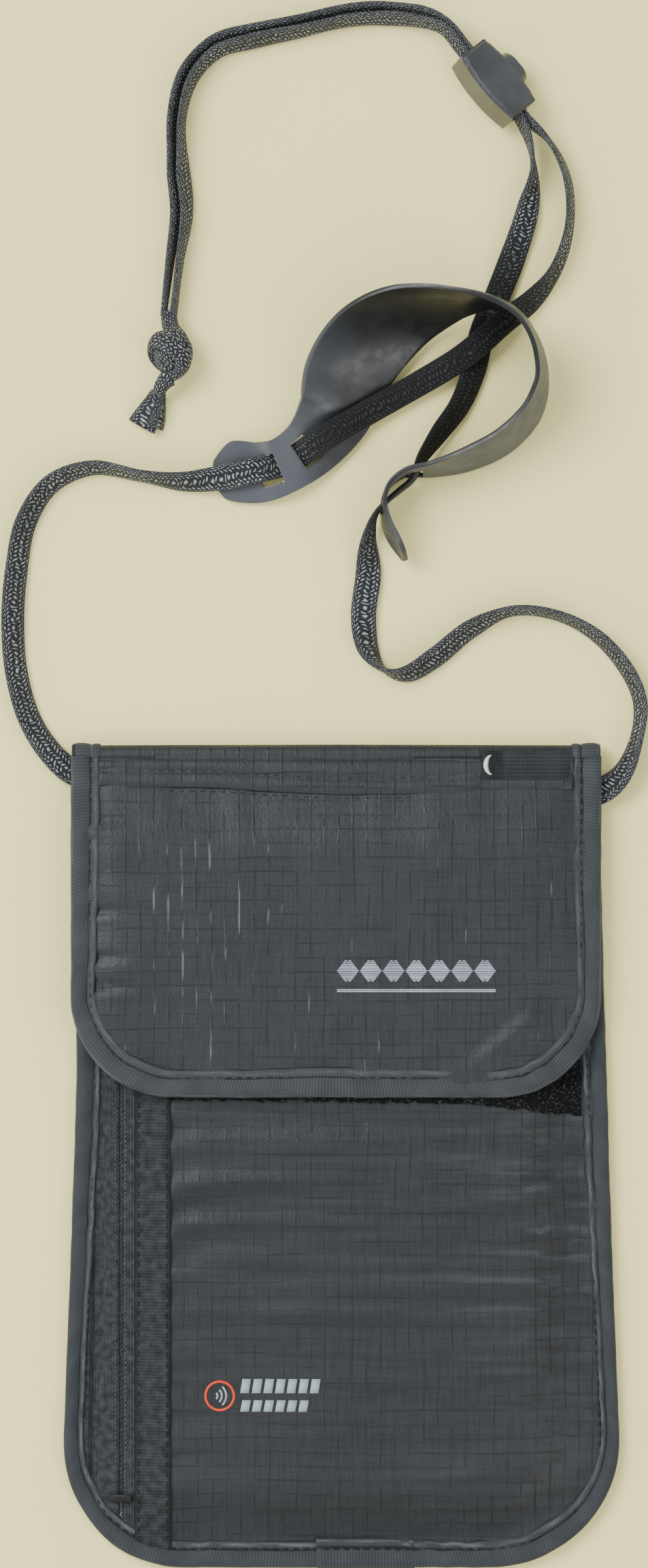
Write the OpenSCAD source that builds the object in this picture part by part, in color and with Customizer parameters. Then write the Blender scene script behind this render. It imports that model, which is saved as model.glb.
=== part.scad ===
// Flat neck pouch wallet: sewn pouch with a flap, a side zip pocket, a neck cord,
// a sliding cord lock and a soft neck pad. Millimetres, +Z up, lying on its back on z = 0.
// The origin is the centre of the pouch's footprint, with the flap's fold towards +Y.

/* [Pouch] */
// Height of the pouch from the fold to the bottom edge
body_h = 210; // [190:1:230]
// Width of the pouch at the fold
body_w_top = 134; // [124:1:140]
// Width of the pouch at its widest, above the bottom corners
body_w_bottom = 141; // [134:1:150]
// Radius of the bottom corners
corner_r = 32; // [20:1:40]
// Visible width of the edge binding
binding_w = 7; // [5:0.5:9]
// Thickness of the binding tape
binding_t = 0.4; // [0.3:0.05:0.6]
// Thickness of the back panel
back_t = 0.8; // [0.6:0.1:1.2]
// Thickness of the foil shield liner
shield_t = 0.3; // [0.2:0.05:0.5]
// Clear height of the main pocket
pocket_gap = 4.7; // [4.6:0.1:8]
// Thickness of the wall between the main pocket and the zip pocket
divider_t = 0.4; // [0.3:0.05:0.6]
// Clear height of the empty zip pocket
zip_gap = 0.3; // [0.3:0.1:2]
// Thickness of the front panel
front_t = 0.7; // [0.5:0.1:1]
// Width of the slope between the binding and the raised middle
slope_run = 12; // [10:1:16]
// Width of the gentler slope under the zip
zip_slope_run = 18; // [16:1:22]
// Distance from the fold down to the pocket mouth
mouth_drop = 27; // [22:1:34]

/* [Flap] */
// Length of the flap, from the fold to its lower edge
flap_l = 89.7; // [80:0.1:100]
// Width of the flap
flap_w = 135; // [128:1:141]
// Radius of the flap's lower corners
flap_corner_r = 26; // [15:1:32]
// Thickness of the flap's outer fabric
flap_t = 0.6; // [0.5:0.1:1]
// Thickness of the flap's lining
lining_t = 0.4; // [0.3:0.05:0.6]
// Thickness of each closure tape
closure_t = 0.8; // [0.6:0.1:1.2]
// Height of the closure tapes, along the pouch
closure_h = 25; // [15:1:30]
// Height of the double sewn hem under the fold
hem_h = 12; // [8:0.5:16]
// Length of the hem's open end at the right
hem_opening = 21; // [10:1:30]

/* [Zip] */
// Distance of the zip's centre line inside the binding's inner edge
zip_inset = 5.1; // [4.5:0.1:8]
// Width of one zip tape
zip_tape_w = 5.2; // [4.5:0.1:6]
// Thickness of the zip tape
zip_tape_t = 0.4; // [0.3:0.05:0.5]
// Width of one row of zip coil
coil_w = 1.7; // [1.4:0.1:2]
// Height of the zip coil under the tape
coil_h = 0.8; // [0.6:0.1:1]
// Gap between the two rows, where the slider's post runs
zip_centre_gap = 0.9; // [0.8:0.05:1.2]
// Width of the facing strip beside the zip
facing_w = 7.2; // [6:0.1:9]
// Length of the zip slider
slider_l = 9; // [7:0.5:11]
// Width of the zip slider
slider_w = 6; // [5:0.5:7]
// Length of the zip pull
pull_l = 8; // [7:0.5:9]
// Travel of the slider from closed to open
zip_travel = 128; // [100:1:128]

/* [Cord] */
// Width of the flat braided cord
cord_w = 6.8; // [6:0.1:7]
// Thickness of the flat braided cord
cord_t = 1.4; // [1:0.1:1.6]
// Width of the cord where the lock squeezes it
cord_squeezed_w = 5.2; // [4.5:0.1:5.4]
// Thickness of the neck pad
pad_t = 1.2; // [0.8:0.1:1.6]
// Length of a slot across the neck pad's end
pad_slot = 8.4; // [8:0.1:10]

/* [Cord lock] */
// Length of the lock along the cords
lock_l = 20.5; // [18:0.5:24]
// Width of the lock at its middle, in the direction the button moves
lock_w = 11; // [11:0.5:14]
// Width of the lock at its two ends
lock_end_w = 8.4; // [8:0.1:9]
// Thickness of the lock
lock_h = 9.6; // [9.4:0.1:12]
// Length of the button along the cords
button_l = 8.8; // [8:0.1:9]
// Thickness of the button
button_h = 7; // [6.8:0.1:7.2]
// Height that the button stands out of the lock
button_out = 2.3; // [2.1:0.1:3]
// Play between the button and its bore
button_clearance = 0.1; // [0.05:0.01:0.15]

/* [Hidden] */

$fn = 48;
eps = 0.01;
play = 0.1;          // gap left between pieces that only lie against each other

// Heights of the layers at the sewn edge, from the surface up.
y_top = body_h / 2;
y_bottom = -body_h / 2;
z_back = binding_t;
z_shield = z_back + back_t;
z_divider_edge = z_shield;
z_front_edge = z_divider_edge + divider_t;
z_edge_top = z_front_edge + front_t;
edge_h = z_edge_top + binding_t;

// Heights of the same layers in the raised middle.
z_pocket = z_shield + shield_t;
z_divider = z_pocket + pocket_gap;
z_front = z_divider + divider_t + zip_gap;
z_front_top = z_front + front_t;
z_loop_top = z_front_top + closure_t;
z_hook = z_loop_top;
z_lining = z_hook + closure_t;
z_flap = z_lining + lining_t;
z_flap_top = z_flap + flap_t;

// The raised middle stands on a straight-sided base inside the binding.
base_half_w = min(body_w_top, body_w_bottom) / 2 - binding_w;
base_r = corner_r - binding_w;
y_mouth = y_top - mouth_drop;

// The fold turns about an axis midway between the back panel and the flap.
fold_r_out = 2.6;
z_axis = z_back + fold_r_out - play / 2;
y_axis = y_top - fold_r_out;
y_flap_start = y_axis - play;
z_flap_start = z_axis + fold_r_out - flap_t - lining_t;
y_flap_end = y_top - flap_l;
y_flap_break = y_mouth - 1;

zip_x = base_half_w - zip_inset;

// The zip lies on a plane that rises from just above the binding to the front panel's cut edge.
x_front_left = -zip_x + zip_centre_gap / 2 + zip_tape_w + 0.8;
z_front_left = z_edge_top + (z_front_top - z_edge_top) * (x_front_left + base_half_w) / zip_slope_run;
zip_lift = 1;
zip_plane_x = -base_half_w;
zip_plane_z = z_edge_top + zip_lift;
zip_tilt = atan((z_front_left - zip_plane_z) / (x_front_left - zip_plane_x));
zip_u = (base_half_w - zip_x) / cos(zip_tilt);
zip_y_bottom = y_bottom + 15;
zip_y_top = y_mouth - 20;
zip_rest_y = zip_y_top - 9;

// The inner wall starts its slope clear of the zip slider's lower plate.
divider_left_inset = 5.5;
divider_left_run = 14;

// Height by which the flap humps over the zip slider and its pull.
flap_hump = 1.1;

// The cord and what is on it are laid out for a fold at this y, and move with the fold.
cord_fold_y = 105;

// Points [x, y, lift above the surface, roll] down the middle of the two cord runs. Roll 0 lies
// flat and 90 stands on edge. Both runs go from the pouch to the knot.
run_left = [
    [-58, 97, 1.3, 4], [-66, 97.4, 1.3, 8], [-72, 102, 0.6, 24], [-78, 111, 0, 34],
    [-81.5, 123, 0, 36], [-82.5, 136, 0, 34], [-81.5, 150, 0, 36], [-79, 162, 0, 40],
    [-72.5, 171.5, 0, 50], [-62, 175.5, 0, 62], [-50, 173.5, 0, 68], [-39, 172, 0.6, 48],
    [-29, 173, 1.9, 22], [-20.8, 174.8, 2.6, 12], [-14.5, 176.4, 0.3, 9], [-10.5, 178.2, 0.4, 10],
    [-5.5, 181.3, 3.7, 14], [-1.5, 183.9, 4.4, 18], [8, 189.5, 2, 22], [20, 196.3, 1.4, 20], [31, 202.8, 3.4, 20],
    [36.5, 207, 4, 20], [43, 212.8, 2.2, 26], [50, 218.3, 0.4, 40], [56, 226, 0, 56],
    [59.5, 237, 0, 62], [59, 249, 0, 64], [54.8, 258, 0.8, 84]
];
run_right = [
    [58, 92.5, 1.3, 176], [67, 93, 1.3, 170], [72.5, 97, 0.3, 138], [76.5, 106, 0, 116],
    [77.5, 116, 0, 114], [73.5, 125, 0, 117], [66, 133, 0, 115], [56, 138, 0, 111],
    [45, 139, 0, 113], [34.5, 134.5, 0, 128], [25, 127, 0, 136], [18, 123, 0, 124],
    [12.5, 123.8, 0, 88], [8.3, 129, 0, 40], [7, 138, 0, 14], [8.2, 148, 0, 12],
    [8.2, 157, 0, 58], [9.8, 163.2, 1.4, 84], [12.9, 166.9, 1.9, 88], [16.2, 169.7, 1.9, 88],
    [19.3, 172.4, 1.9, 86], [21.7, 177.6, 1.1, 70], [26.2, 184.2, 0.2, 50], [31.5, 191.5, 0, 38], [35.3, 201, 0, 24], [37, 209, 0, 16],
    [41, 219, 0, 14], [45, 229, 0, 26], [48.8, 241, 0, 48], [50.3, 252, 0.6, 84]
];
// Middle of the pair of runs from the lock to the knot.
pair = [
    [22.5, 290, 2.2, 112], [15, 291.6, 0.6, 118], [4, 291.3, 0, 120], [-10, 288.2, 0, 122],
    [-22, 285.6, 0, 124], [-31, 282.6, 0, 122], [-37.5, 275.5, 0, 112], [-40.5, 265, 0, 104],
    [-40.3, 252, 0, 112], [-39.3, 241, 0, 116], [-41, 229, 0.2, 108], [-42.8, 214, 1, 100]
];
pair_gap = 3;
knot = [-42.3, 204.5, 5.4];
tail = [-49, 187.5, 2];

// Points [x, y, lift of the lower edge, roll, width] down the middle of the neck pad.
pad = [
    [-31.5, 175.6, 0, 4, 9], [-28, 175.2, 0, 5, 14.5], [-20, 174.4, 0, 6, 15.5],
    [-13, 176.3, 2, 8, 14.5], [-6, 181.5, 0.3, 14, 16], [-0.5, 189.5, 0, 22, 20],
    [2.5, 199.5, 0, 28, 24], [8.5, 208.5, 0, 38, 26], [18, 215.5, 0.6, 55, 26],
    [28, 218.3, 3.4, 74, 25], [37.5, 218, 6.2, 88, 24], [45.8, 214.3, 6.2, 94, 23],
    [51, 207, 3.4, 97, 22], [52.8, 198.5, 1, 99, 21], [50.5, 189.5, 0, 104, 20],
    [43.5, 182, 0, 108, 18], [34, 177.3, 0, 108, 16], [24.5, 174.8, 0, 101, 14.5],
    [17.5, 173.8, 0, 94, 14], [13.4, 170.6, 0, 90, 14], [12.2, 166.2, 0, 88, 14],
    [13, 161.5, 0, 82, 14], [15.2, 156.5, 0, 74, 13], [17.6, 152, 0, 68, 8]
];
pad_slots = [[-17.2, 175.4, 2.2, 5, 14], [-8, 179.7, 2.6, 12, 36],
             [12.1, 166, 5.5, 88, 77], [20, 174.2, 5.5, 96, 8]];
pad_slot_l = 5.6;

// The lock lies tilted on the surface: its button side is the lower one.
lock_at = [40, 273, 6.5];
lock_turn = -50;
lock_tilt = 22;
lock_slot_w = cord_squeezed_w + 0.4;
lock_slot_h = 2 * cord_t + 0.6;
button_bar = 0.7;
button_travel = button_out - 0.4;
bore_floor = -lock_w / 2 + 1.05;
button_bottom = -lock_slot_h / 2 - button_bar;

// ---------- shared shapes ----------

function arc(cx, cy, r, a0, a1, steps = 8) =
    [for (i = [0:steps]) let (a = a0 + (a1 - a0) * i / steps) [cx + r * cos(a), cy + r * sin(a)]];

// Half of the pouch's width where its straight sides pass a given y.
function half_at(y) = body_w_top / 2
    + (body_w_bottom - body_w_top) / 2 * (y_top - y) / (body_h - corner_r);

// Outline with straight sides between two widths, and its own radius at each end.
function panel_outline(half_top, half_bottom, y0, y1, r_bottom, r_top) = concat(
    arc(half_bottom - r_bottom, y0 + r_bottom, r_bottom, -90, 0),
    arc(half_top - r_top, y1 - r_top, r_top, 0, 90),
    arc(r_top - half_top, y1 - r_top, r_top, 90, 180),
    arc(r_bottom - half_bottom, y0 + r_bottom, r_bottom, 180, 270));

module body_plate(inset, z0, thickness, y1 = y_axis) {
    translate([0, 0, z0]) linear_extrude(thickness)
        polygon(panel_outline(half_at(y1) - inset, body_w_bottom / 2 - inset,
                              y_bottom + inset, y1, corner_r - inset, 1));
}

module flap_plate(inset, z0, thickness, y1 = y_flap_start) {
    translate([0, 0, z0]) linear_extrude(thickness)
        polygon(panel_outline(flap_w / 2 - inset, flap_w / 2 - inset, y_flap_end + inset,
                              y1, flap_corner_r - inset, 0.5));
}

// A band along X with the given points in the YZ plane.
module yz_prism(points, half_w) {
    translate([-half_w, 0, 0]) rotate([90, 0, 90]) linear_extrude(2 * half_w) polygon(points);
}

// Solid under the flap's lining, raised by h: level along the pouch and then down to the fold,
// humped over the zip at the left and draped down to the binding at the right.
module under_flap(h) {
    z_top = z_lining + flap_hump + h;
    drop = (z_lining + flap_hump - z_flap_start) / (y_flap_start - y_flap_break);
    y_over = y_top + 10;
    half = flap_w / 2 + 1;
    x_drape = base_half_w - slope_run + 1.5;
    intersection() {
        yz_prism([[y_flap_end - 5, -20], [y_over, -20], [y_over, z_top - drop * (y_over - y_flap_break)],
                  [y_flap_break, z_top], [y_flap_end - 5, z_top]], half);
        translate([0, y_over, 0]) rotate([90, 0, 0]) linear_extrude(body_h) polygon([
            [-half, -20], [half, -20], [half, edge_h + 1.5 + h], [x_drape + slope_run, edge_h + 1.5 + h],
            [x_drape, z_lining + h], [-zip_x + 11, z_lining + h], [-zip_x + 6, z_top],
            [-zip_x - 4, z_top], [-zip_x - 6.5, z_lining - 0.2 + h], [-half, edge_h + 2.6 + h]]);
    }
}

// Solid under the raised middle, from its base up to height z1. Its left side starts further in
// by left_inset and rises over left_run.
module mound(z0, z1, left_inset, left_run) {
    hull() {
        translate([0, 0, z0 - 1]) linear_extrude(1) mound_outline(0, left_inset);
        translate([0, 0, z1 - eps]) linear_extrude(eps) mound_outline(slope_run, left_inset + left_run);
    }
}

module mound_outline(inset, left_inset) {
    r = max(base_r - inset, 6);
    y0 = y_bottom + binding_w + inset;
    y1 = y_top + 2 * zip_slope_run;
    polygon(concat(
        arc(base_half_w - inset - r, y0 + r, r, -90, 0),
        [[base_half_w - inset, y1], [left_inset - base_half_w, y1]],
        arc(left_inset - base_half_w + r, y0 + r, r, 180, 270)));
}

// One raised layer: a flat sewn margin, a slope all round and a level middle.
module raised_layer(z_edge, z_middle, thickness, left_inset, left_run) {
    intersection() {
        difference() {
            union() {
                body_plate(binding_t + play, z_edge, thickness, y_top);
                mound(z_edge + thickness, z_middle + thickness, left_inset, left_run);
            }
            mound(z_edge, z_middle, left_inset, left_run);
        }
        translate([-body_w_bottom, y_bottom, 0]) cube([2 * body_w_bottom, y_mouth - y_bottom, 50]);
    }
}

// Places flat zip parts: u runs up the slope from its foot, y along the zip, z off the fabric.
module on_slope() {
    translate([zip_plane_x, 0, zip_plane_z]) rotate([0, -zip_tilt, 0]) children();
}

module slope_strip(u0, u1, y0, y1, z0, thickness) {
    on_slope() translate([u0, y0, z0]) cube([u1 - u0, y1 - y0, thickness]);
}

// Closed tube through rings of equal point count.
module tube(rings) {
    n = len(rings[0]);
    last = len(rings) - 1;
    sides = [for (i = [0:last - 1], k = [0:n - 1]) let (m = (k + 1) % n)
        each [[i * n + k, i * n + m, (i + 1) * n + m], [i * n + k, (i + 1) * n + m, (i + 1) * n + k]]];
    caps = [for (k = [1:n - 2]) each [[0, k + 1, k], [last * n, last * n + k, last * n + k + 1]]];
    polyhedron([for (r = rings) each r], [for (f = concat(sides, caps)) [f[0], f[2], f[1]]]);
}

function unit(v) = v / norm(v);
function along(points, i) =
    unit(points[min(i + 1, len(points) - 1)] - points[max(i - 1, 0)]);
function left_of(t) = unit([-t[1], t[0], 0]);

// Rings of a flat section whose width leans by the roll in front of the direction of travel.
function flat_rings(points, rolls, widths, thickness, section) = [
    for (i = [0:len(points) - 1]) let (
            t = along(points, i), s = left_of(t), up = cross(t, s),
            across = cos(rolls[i]) * s + sin(rolls[i]) * up,
            face = cos(rolls[i]) * up - sin(rolls[i]) * s)
        [for (q = section) points[i] + across * q[0] * widths[i] / 2 + face * q[1] * thickness / 2]
];

function lying_z(lift, roll, w, t) = lift + play + w / 2 * abs(sin(roll)) + t / 2 * abs(cos(roll));

oval = [for (i = [0:7]) [cos(45 * i), sin(45 * i)]];
strip = [[1, -0.6], [1, 0.6], [0.94, 1], [-0.94, 1], [-1, 0.6], [-1, -0.6], [-0.94, -1], [0.94, -1]];

// ---------- pouch ----------

module back_panel() {
    color("dimgray") body_plate(binding_t + play, z_back, back_t);
}

module shield_liner() {
    rise = z_divider - z_divider_edge;
    inset = shield_t * max(slope_run, divider_left_run) / rise + play;
    color("silver") translate([0, 0, z_shield]) linear_extrude(shield_t) intersection() {
        mound_outline(inset, divider_left_inset + inset);
        translate([-body_w_bottom, y_bottom]) square([2 * body_w_bottom, y_mouth - 4 - y_bottom]);
    }
}

module pocket_divider() {
    color("silver")
        raised_layer(z_divider_edge, z_divider, divider_t, divider_left_inset, divider_left_run);
}

module front_panel() {
    color("darkslategray") intersection() {
        raised_layer(z_front_edge, z_front, front_t, 0, zip_slope_run);
        translate([x_front_left, y_bottom, 0]) cube([2 * body_w_bottom, body_h, 50]);
    }
}

module mouth_binding() {
    lip = 4;
    half = base_half_w - zip_slope_run - 2;
    outer = z_front_top + binding_t;
    color("slategray") difference() {
        yz_prism([[y_mouth - lip, z_divider - binding_t], [y_mouth + binding_t + play, z_divider - binding_t],
                  [y_mouth + binding_t + play, outer], [y_mouth - lip, outer]], half);
        yz_prism([[y_mouth - lip - 1, z_divider], [y_mouth + play, z_divider],
                  [y_mouth + play, z_front_top], [y_mouth - lip - 1, z_front_top]], half + 1);
    }
}

module edge_binding() {
    y_end = y_top - 16;
    color("slategray") intersection() {
        difference() {
            body_plate(0, 0, edge_h, y_top);
            body_plate(binding_t, z_back, edge_h - 2 * binding_t, y_top + 1);
            body_plate(binding_w, -1, edge_h + 2, y_top + 1);
        }
        translate([-body_w_bottom, y_bottom - 1, -1]) cube([2 * body_w_bottom, y_end - y_bottom + 1, 10]);
    }
}

module binding_overlap() {
    overlap_x = -5;
    overlap_l = 26;
    // It reaches up the front panel's slope until the slope meets its underside.
    lip = binding_t * slope_run / (z_front_top - z_edge_top) - play;
    color("slategray") translate([overlap_x, y_bottom, edge_h])
        cube([overlap_l, binding_w + lip, binding_t]);
}

module loop_tape() {
    x0 = -base_half_w + zip_slope_run + 1;
    y0 = y_flap_end - 3;
    color("black") intersection() {
        difference() {
            mound(z_edge_top + closure_t, z_loop_top, 0, zip_slope_run);
            mound(z_edge_top, z_front_top, 0, zip_slope_run);
        }
        translate([x0, y0, 0]) cube([base_half_w - 1 - x0, closure_h, 30]);
    }
}

// Printed badge: a ring with three arcs, and two plain bars beside it.
module printed_mark() {
    film = 0.12;
    badge = [-29.6, y_bottom + 43.8];
    bars = [[6.1, 0.2, 20, 3], [6.1, -4.2, 15.5, 2.4]];
    translate([badge[0], badge[1], z_front_top]) {
        color("orangered") difference() {
            cylinder(h = film, r = 4);
            translate([0, 0, -1]) cylinder(h = 2, r = 3.4);
        }
        for (i = [0:2]) color("lightsteelblue") intersection() {
            difference() {
                translate([-1.6, 0, 0]) cylinder(h = film, r = 1.3 + i * 1.1);
                translate([-1.6, 0, -1]) cylinder(h = 2, r = 0.8 + i * 1.1);
            }
            translate([-1.6, 0, 0]) rotate(-45) cube([5, 5, film]);
        }
    }
    for (b = bars) color("lightsteelblue") translate([badge[0] + b[0], badge[1] + b[1], z_front_top])
        cube([b[2], b[3], film]);
}

// ---------- zip ----------

zip_u_left = zip_u - zip_centre_gap / 2;
zip_u_right = zip_u + zip_centre_gap / 2;

// Everything inside the binding's inner edge.
module inside_binding() {
    body_plate(binding_w + play, -1, 60, y_top + 1);
}

module zip_tape(u0, u1) {
    intersection() {
        slope_strip(u0, u1, y_bottom, zip_y_top + 6, -zip_tape_t, zip_tape_t);
        inside_binding();
    }
}

// The left tape steps down from the zip's plane into the bound edge.
module zip_tape_left() {
    x_step = binding_w + 1.4 - min(half_at(zip_y_top + 6), body_w_bottom / 2);
    z_low = z_front_edge + play / 2;
    z_high = zip_plane_z - zip_tape_t + 0.05;
    color("dimgray") union() {
        zip_tape(zip_u_left - zip_tape_w, zip_u_left);
        intersection() {
            translate([0, zip_y_top + 6, 0]) rotate([90, 0, 0])
                linear_extrude(zip_y_top + 6 - (y_bottom + corner_r))
                polygon([[-body_w_bottom, z_low], [x_step - 0.8, z_low], [x_step, z_high],
                         [x_step, z_high + zip_tape_t], [x_step - 1.2, z_low + zip_tape_t],
                         [-body_w_bottom, z_low + zip_tape_t]]);
            body_plate(binding_t + play, -1, 60, y_top);
        }
    }
}

module zip_tape_right() {
    color("dimgray") zip_tape(zip_u_right, zip_u_right + zip_tape_w);
}

module zip_coil(u0) {
    color("black") slope_strip(u0, u0 + coil_w, zip_y_bottom + 6, zip_y_top, -zip_tape_t - coil_h, coil_h);
}

module zip_coil_left() {
    zip_coil(zip_u_left - coil_w);
}

module zip_coil_right() {
    zip_coil(zip_u_right);
}

// The strip covers the right tape's edge and the front panel's cut edge.
module zip_facing() {
    overlap = 1.6;
    seam = 0.05;
    y_end = y_mouth - 6;
    color("slategray") {
        intersection() {
            translate([0, y_end, 0]) rotate([90, 0, 0]) linear_extrude(y_end - y_bottom) polygon([
                [x_front_left - overlap, z_front_left - overlap * tan(zip_tilt)],
                [x_front_left, z_front_left], [x_front_left, z_front_left + binding_t],
                [x_front_left - overlap, z_front_left - overlap * tan(zip_tilt) + binding_t]]);
            inside_binding();
        }
        intersection() {
            difference() {
                mound(z_edge_top + binding_t, z_front_top + binding_t, 0, zip_slope_run);
                mound(z_edge_top, z_front_top, 0, zip_slope_run);
            }
            translate([x_front_left - seam, y_bottom, 0])
                cube([facing_w - overlap + seam, y_end - y_bottom, 30]);
        }
    }
}

module zip_top_stops() {
    stop = 1.6;
    color("gray") for (u = [zip_u_left - stop, zip_u_right])
        slope_strip(u, u + stop, zip_y_top - 2, zip_y_top, 0, 0.9);
}

module zip_bottom_stop() {
    reach = 3;
    color("gray") slope_strip(zip_u - reach, zip_u + reach, zip_y_bottom + 2, zip_y_bottom + 4, 0, 0.8);
}

// The slider's two plates run above and under the chain, joined by a post in the centre gap.
module zip_slider() {
    plate_t = slider_plate_t;
    under = -zip_tape_t - coil_h - play - plate_t;
    color("dimgray") on_slope() translate([zip_u, zip_rest_y, 0]) {
        for (z = [play, under]) translate([-slider_w / 2, -slider_l / 2, z])
            linear_extrude(plate_t) slider_outline();
        translate([-0.3, 0, under + eps]) cube([0.6, slider_l / 2 - 1, plate_t + play - under - 2 * eps]);
    }
}

module slider_outline() {
    polygon([[1, 0], [slider_w - 1, 0], [slider_w, 2], [slider_w - 0.6, slider_l - 1],
             [slider_w - 1.6, slider_l], [1.6, slider_l], [0.6, slider_l - 1], [0, 2]]);
}

slider_plate_t = 0.6;
bridge_z = play + slider_plate_t;
pull_pin_r = 0.45;
pull_y = zip_rest_y + 1.2;
pull_z = bridge_z + 0.75;

// A low arch over the pull's pin.
module zip_slider_bridge() {
    color("gray") on_slope() translate([zip_u, pull_y, bridge_z]) difference() {
        translate([-0.6, -1.7, 0]) cube([1.2, 3.4, 1.9]);
        translate([-1, 0, pull_z - bridge_z]) rotate([0, 90, 0]) cylinder(h = 2, r = pull_pin_r + 0.08);
    }
}

// The pull is a thin tab whose cross pin turns in the bridge.
module zip_pull() {
    arm = 0.8;
    tab_w = 4;
    color("gray") on_slope() translate([zip_u, pull_y, pull_z]) {
        translate([-tab_w / 2, 0, 0]) rotate([0, 90, 0]) cylinder(h = tab_w, r = pull_pin_r);
        for (s = [-1, 1]) translate([s * (tab_w / 2 - arm / 2) - arm / 2, -3.4, -0.4]) cube([arm, 3.8, 0.8]);
        translate([-tab_w / 2, -pull_l, -0.4]) cube([tab_w, pull_l - 3, 0.8]);
    }
}

// ---------- flap ----------

// The fabric's half turn between the back panel and the flap.
module top_fold() {
    color("slategray") translate([-body_w_top / 2, y_axis, z_axis]) rotate([0, 90, 0]) difference() {
        cylinder(h = body_w_top, r = fold_r_out);
        translate([0, 0, -1]) cylinder(h = body_w_top + 2, r = fold_r_out - back_t);
        translate([-fold_r_out - 1, -2 * fold_r_out - 2, -1])
            cube([2 * fold_r_out + 2, 2 * fold_r_out + 2, body_w_top + 2]);
    }
}

module flap_layer(below, thickness, inset, start = y_flap_start) {
    difference() {
        intersection() {
            flap_plate(inset, -1, 40, start);
            under_flap(below + thickness);
        }
        under_flap(below);
    }
}

module flap_panel() {
    color("darkslategray") flap_layer(lining_t, flap_t, binding_t + play);
}

module flap_lining() {
    color("gray") flap_layer(0, lining_t, binding_t + play);
}

module flap_binding() {
    stack = lining_t + flap_t;
    color("slategray") difference() {
        flap_layer(-binding_t, stack + 2 * binding_t, 0);
        flap_layer(0, stack, binding_t, y_top + 5);
        flap_plate(binding_w, -2, 60, y_top + 5);
    }
}

// Folded hem under the fold, sewn twice, with its upper tube cut open near the right end.
module flap_hem() {
    half = flap_w / 2 - binding_w - play;
    tube_h = 8.4;
    color("slategray") difference() {
        intersection() {
            flap_layer(lining_t + flap_t, 0.5, binding_w + play);
            translate([-flap_w, y_top - hem_h, 0]) cube([2 * flap_w, hem_h, 40]);
        }
        translate([half - 1 - hem_opening, y_top - tube_h, 0]) cube([hem_opening, tube_h + 1, 40]);
    }
}

module hook_tape() {
    half = base_half_w - zip_slope_run - 2;
    color("black") translate([-half, y_flap_end + binding_w + 0.5, z_hook])
        cube([2 * half, closure_h - binding_w - 4, closure_t - eps]);
}

// Stitched row of lozenges with a thin line under it.
module flap_emblem() {
    count = 7;
    pitch = 5.8;
    stitch_t = 0.35;
    first = [3, y_flap_end + 32.2];
    color("lavender") translate([first[0], first[1], z_flap_top]) {
        for (i = [0:count - 1]) translate([i * pitch, 0, 0]) linear_extrude(stitch_t)
            polygon([[-2.4, 0], [0, -3.2], [2.4, 0], [0, 3.2]]);
        translate([-2.4, -5.4, 0]) cube([(count - 1) * pitch + 4.8, 0.7, stitch_t]);
    }
}

// ---------- neck cord ----------

// Moves the cord's pieces with the pouch's fold.
module at_fold() {
    translate([0, y_top - cord_fold_y, 0]) children();
}

// Place of a point in the lock's own axes: x along the cords, y towards the button, z its top.
module in_lock() {
    translate(lock_at) rotate([0, 0, lock_turn]) rotate([-lock_tilt, 0, 0]) children();
}

function lock_point(x, y) = lock_at
    + x * [cos(lock_turn), sin(lock_turn), 0]
    + y * [-sin(lock_turn) * cos(lock_tilt), cos(lock_turn) * cos(lock_tilt), -sin(lock_tilt)];

// One whole run: [x, y, z, roll, width] at each ring, side 1 or -1 of the pair.
function whole_run(run, side) = concat(
    [for (p = run) [p[0], p[1], lying_z(p[2], p[3], cord_w, cord_t), p[3], cord_w]],
    [for (x = [lock_l / 2 + 1.5, -lock_l / 2 - 8.5]) let (p = lock_point(x, side * (cord_t / 2 + 0.05)))
        [p[0], p[1], p[2], 90 + lock_tilt, cord_squeezed_w]],
    [for (i = [0:len(pair) - 1]) let (p = pair[i], s = pair_side(i) * side * pair_gap / 2)
        [p[0] + s[0], p[1] + s[1], lying_z(p[2], p[3], cord_w, cord_t), p[3], cord_w]]);

function pair_side(i) = -left_of(along([for (p = pair) [p[0], p[1], 0]], i));

module cord_run(run, side) {
    r = whole_run(run, side);
    color("black") tube(flat_rings([for (p = r) [p[0], p[1], p[2]]], [for (p = r) p[3]],
                                   [for (p = r) p[4]], cord_t, oval));
}

module cord_left() {
    cord_run(run_left, 1);
}

module cord_right() {
    cord_run(run_right, -1);
}

module cord_anchor(x0, y) {
    color("black") translate([x0, y - cord_w / 2, z_shield]) cube([7, cord_w, 2 * cord_t]);
}

module cord_anchor_left() {
    cord_anchor(run_left[0][0] + 0.3, run_left[0][1]);
}

module cord_anchor_right() {
    cord_anchor(run_right[0][0] - 7.3, run_right[0][1]);
}

module cord_knot() {
    color("black") hull() {
        translate(knot + [0.6, 1.5, 0]) sphere(r = 5, $fn = 24);
        translate(knot + [-1.4, -3.6, -1]) sphere(r = 3.8, $fn = 24);
        translate(knot + [-0.6, 6.5, -1.6]) sphere(r = 2.6, $fn = 24);
    }
}

module cord_tail() {
    color("black") hull() {
        translate(knot + [-2.9, -9.8, -2.6]) sphere(r = 2.2, $fn = 24);
        for (s = [-1, 1]) translate(tail + [s * 3, -s * 0.8, 0]) sphere(r = 1.7, $fn = 24);
    }
}

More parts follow.
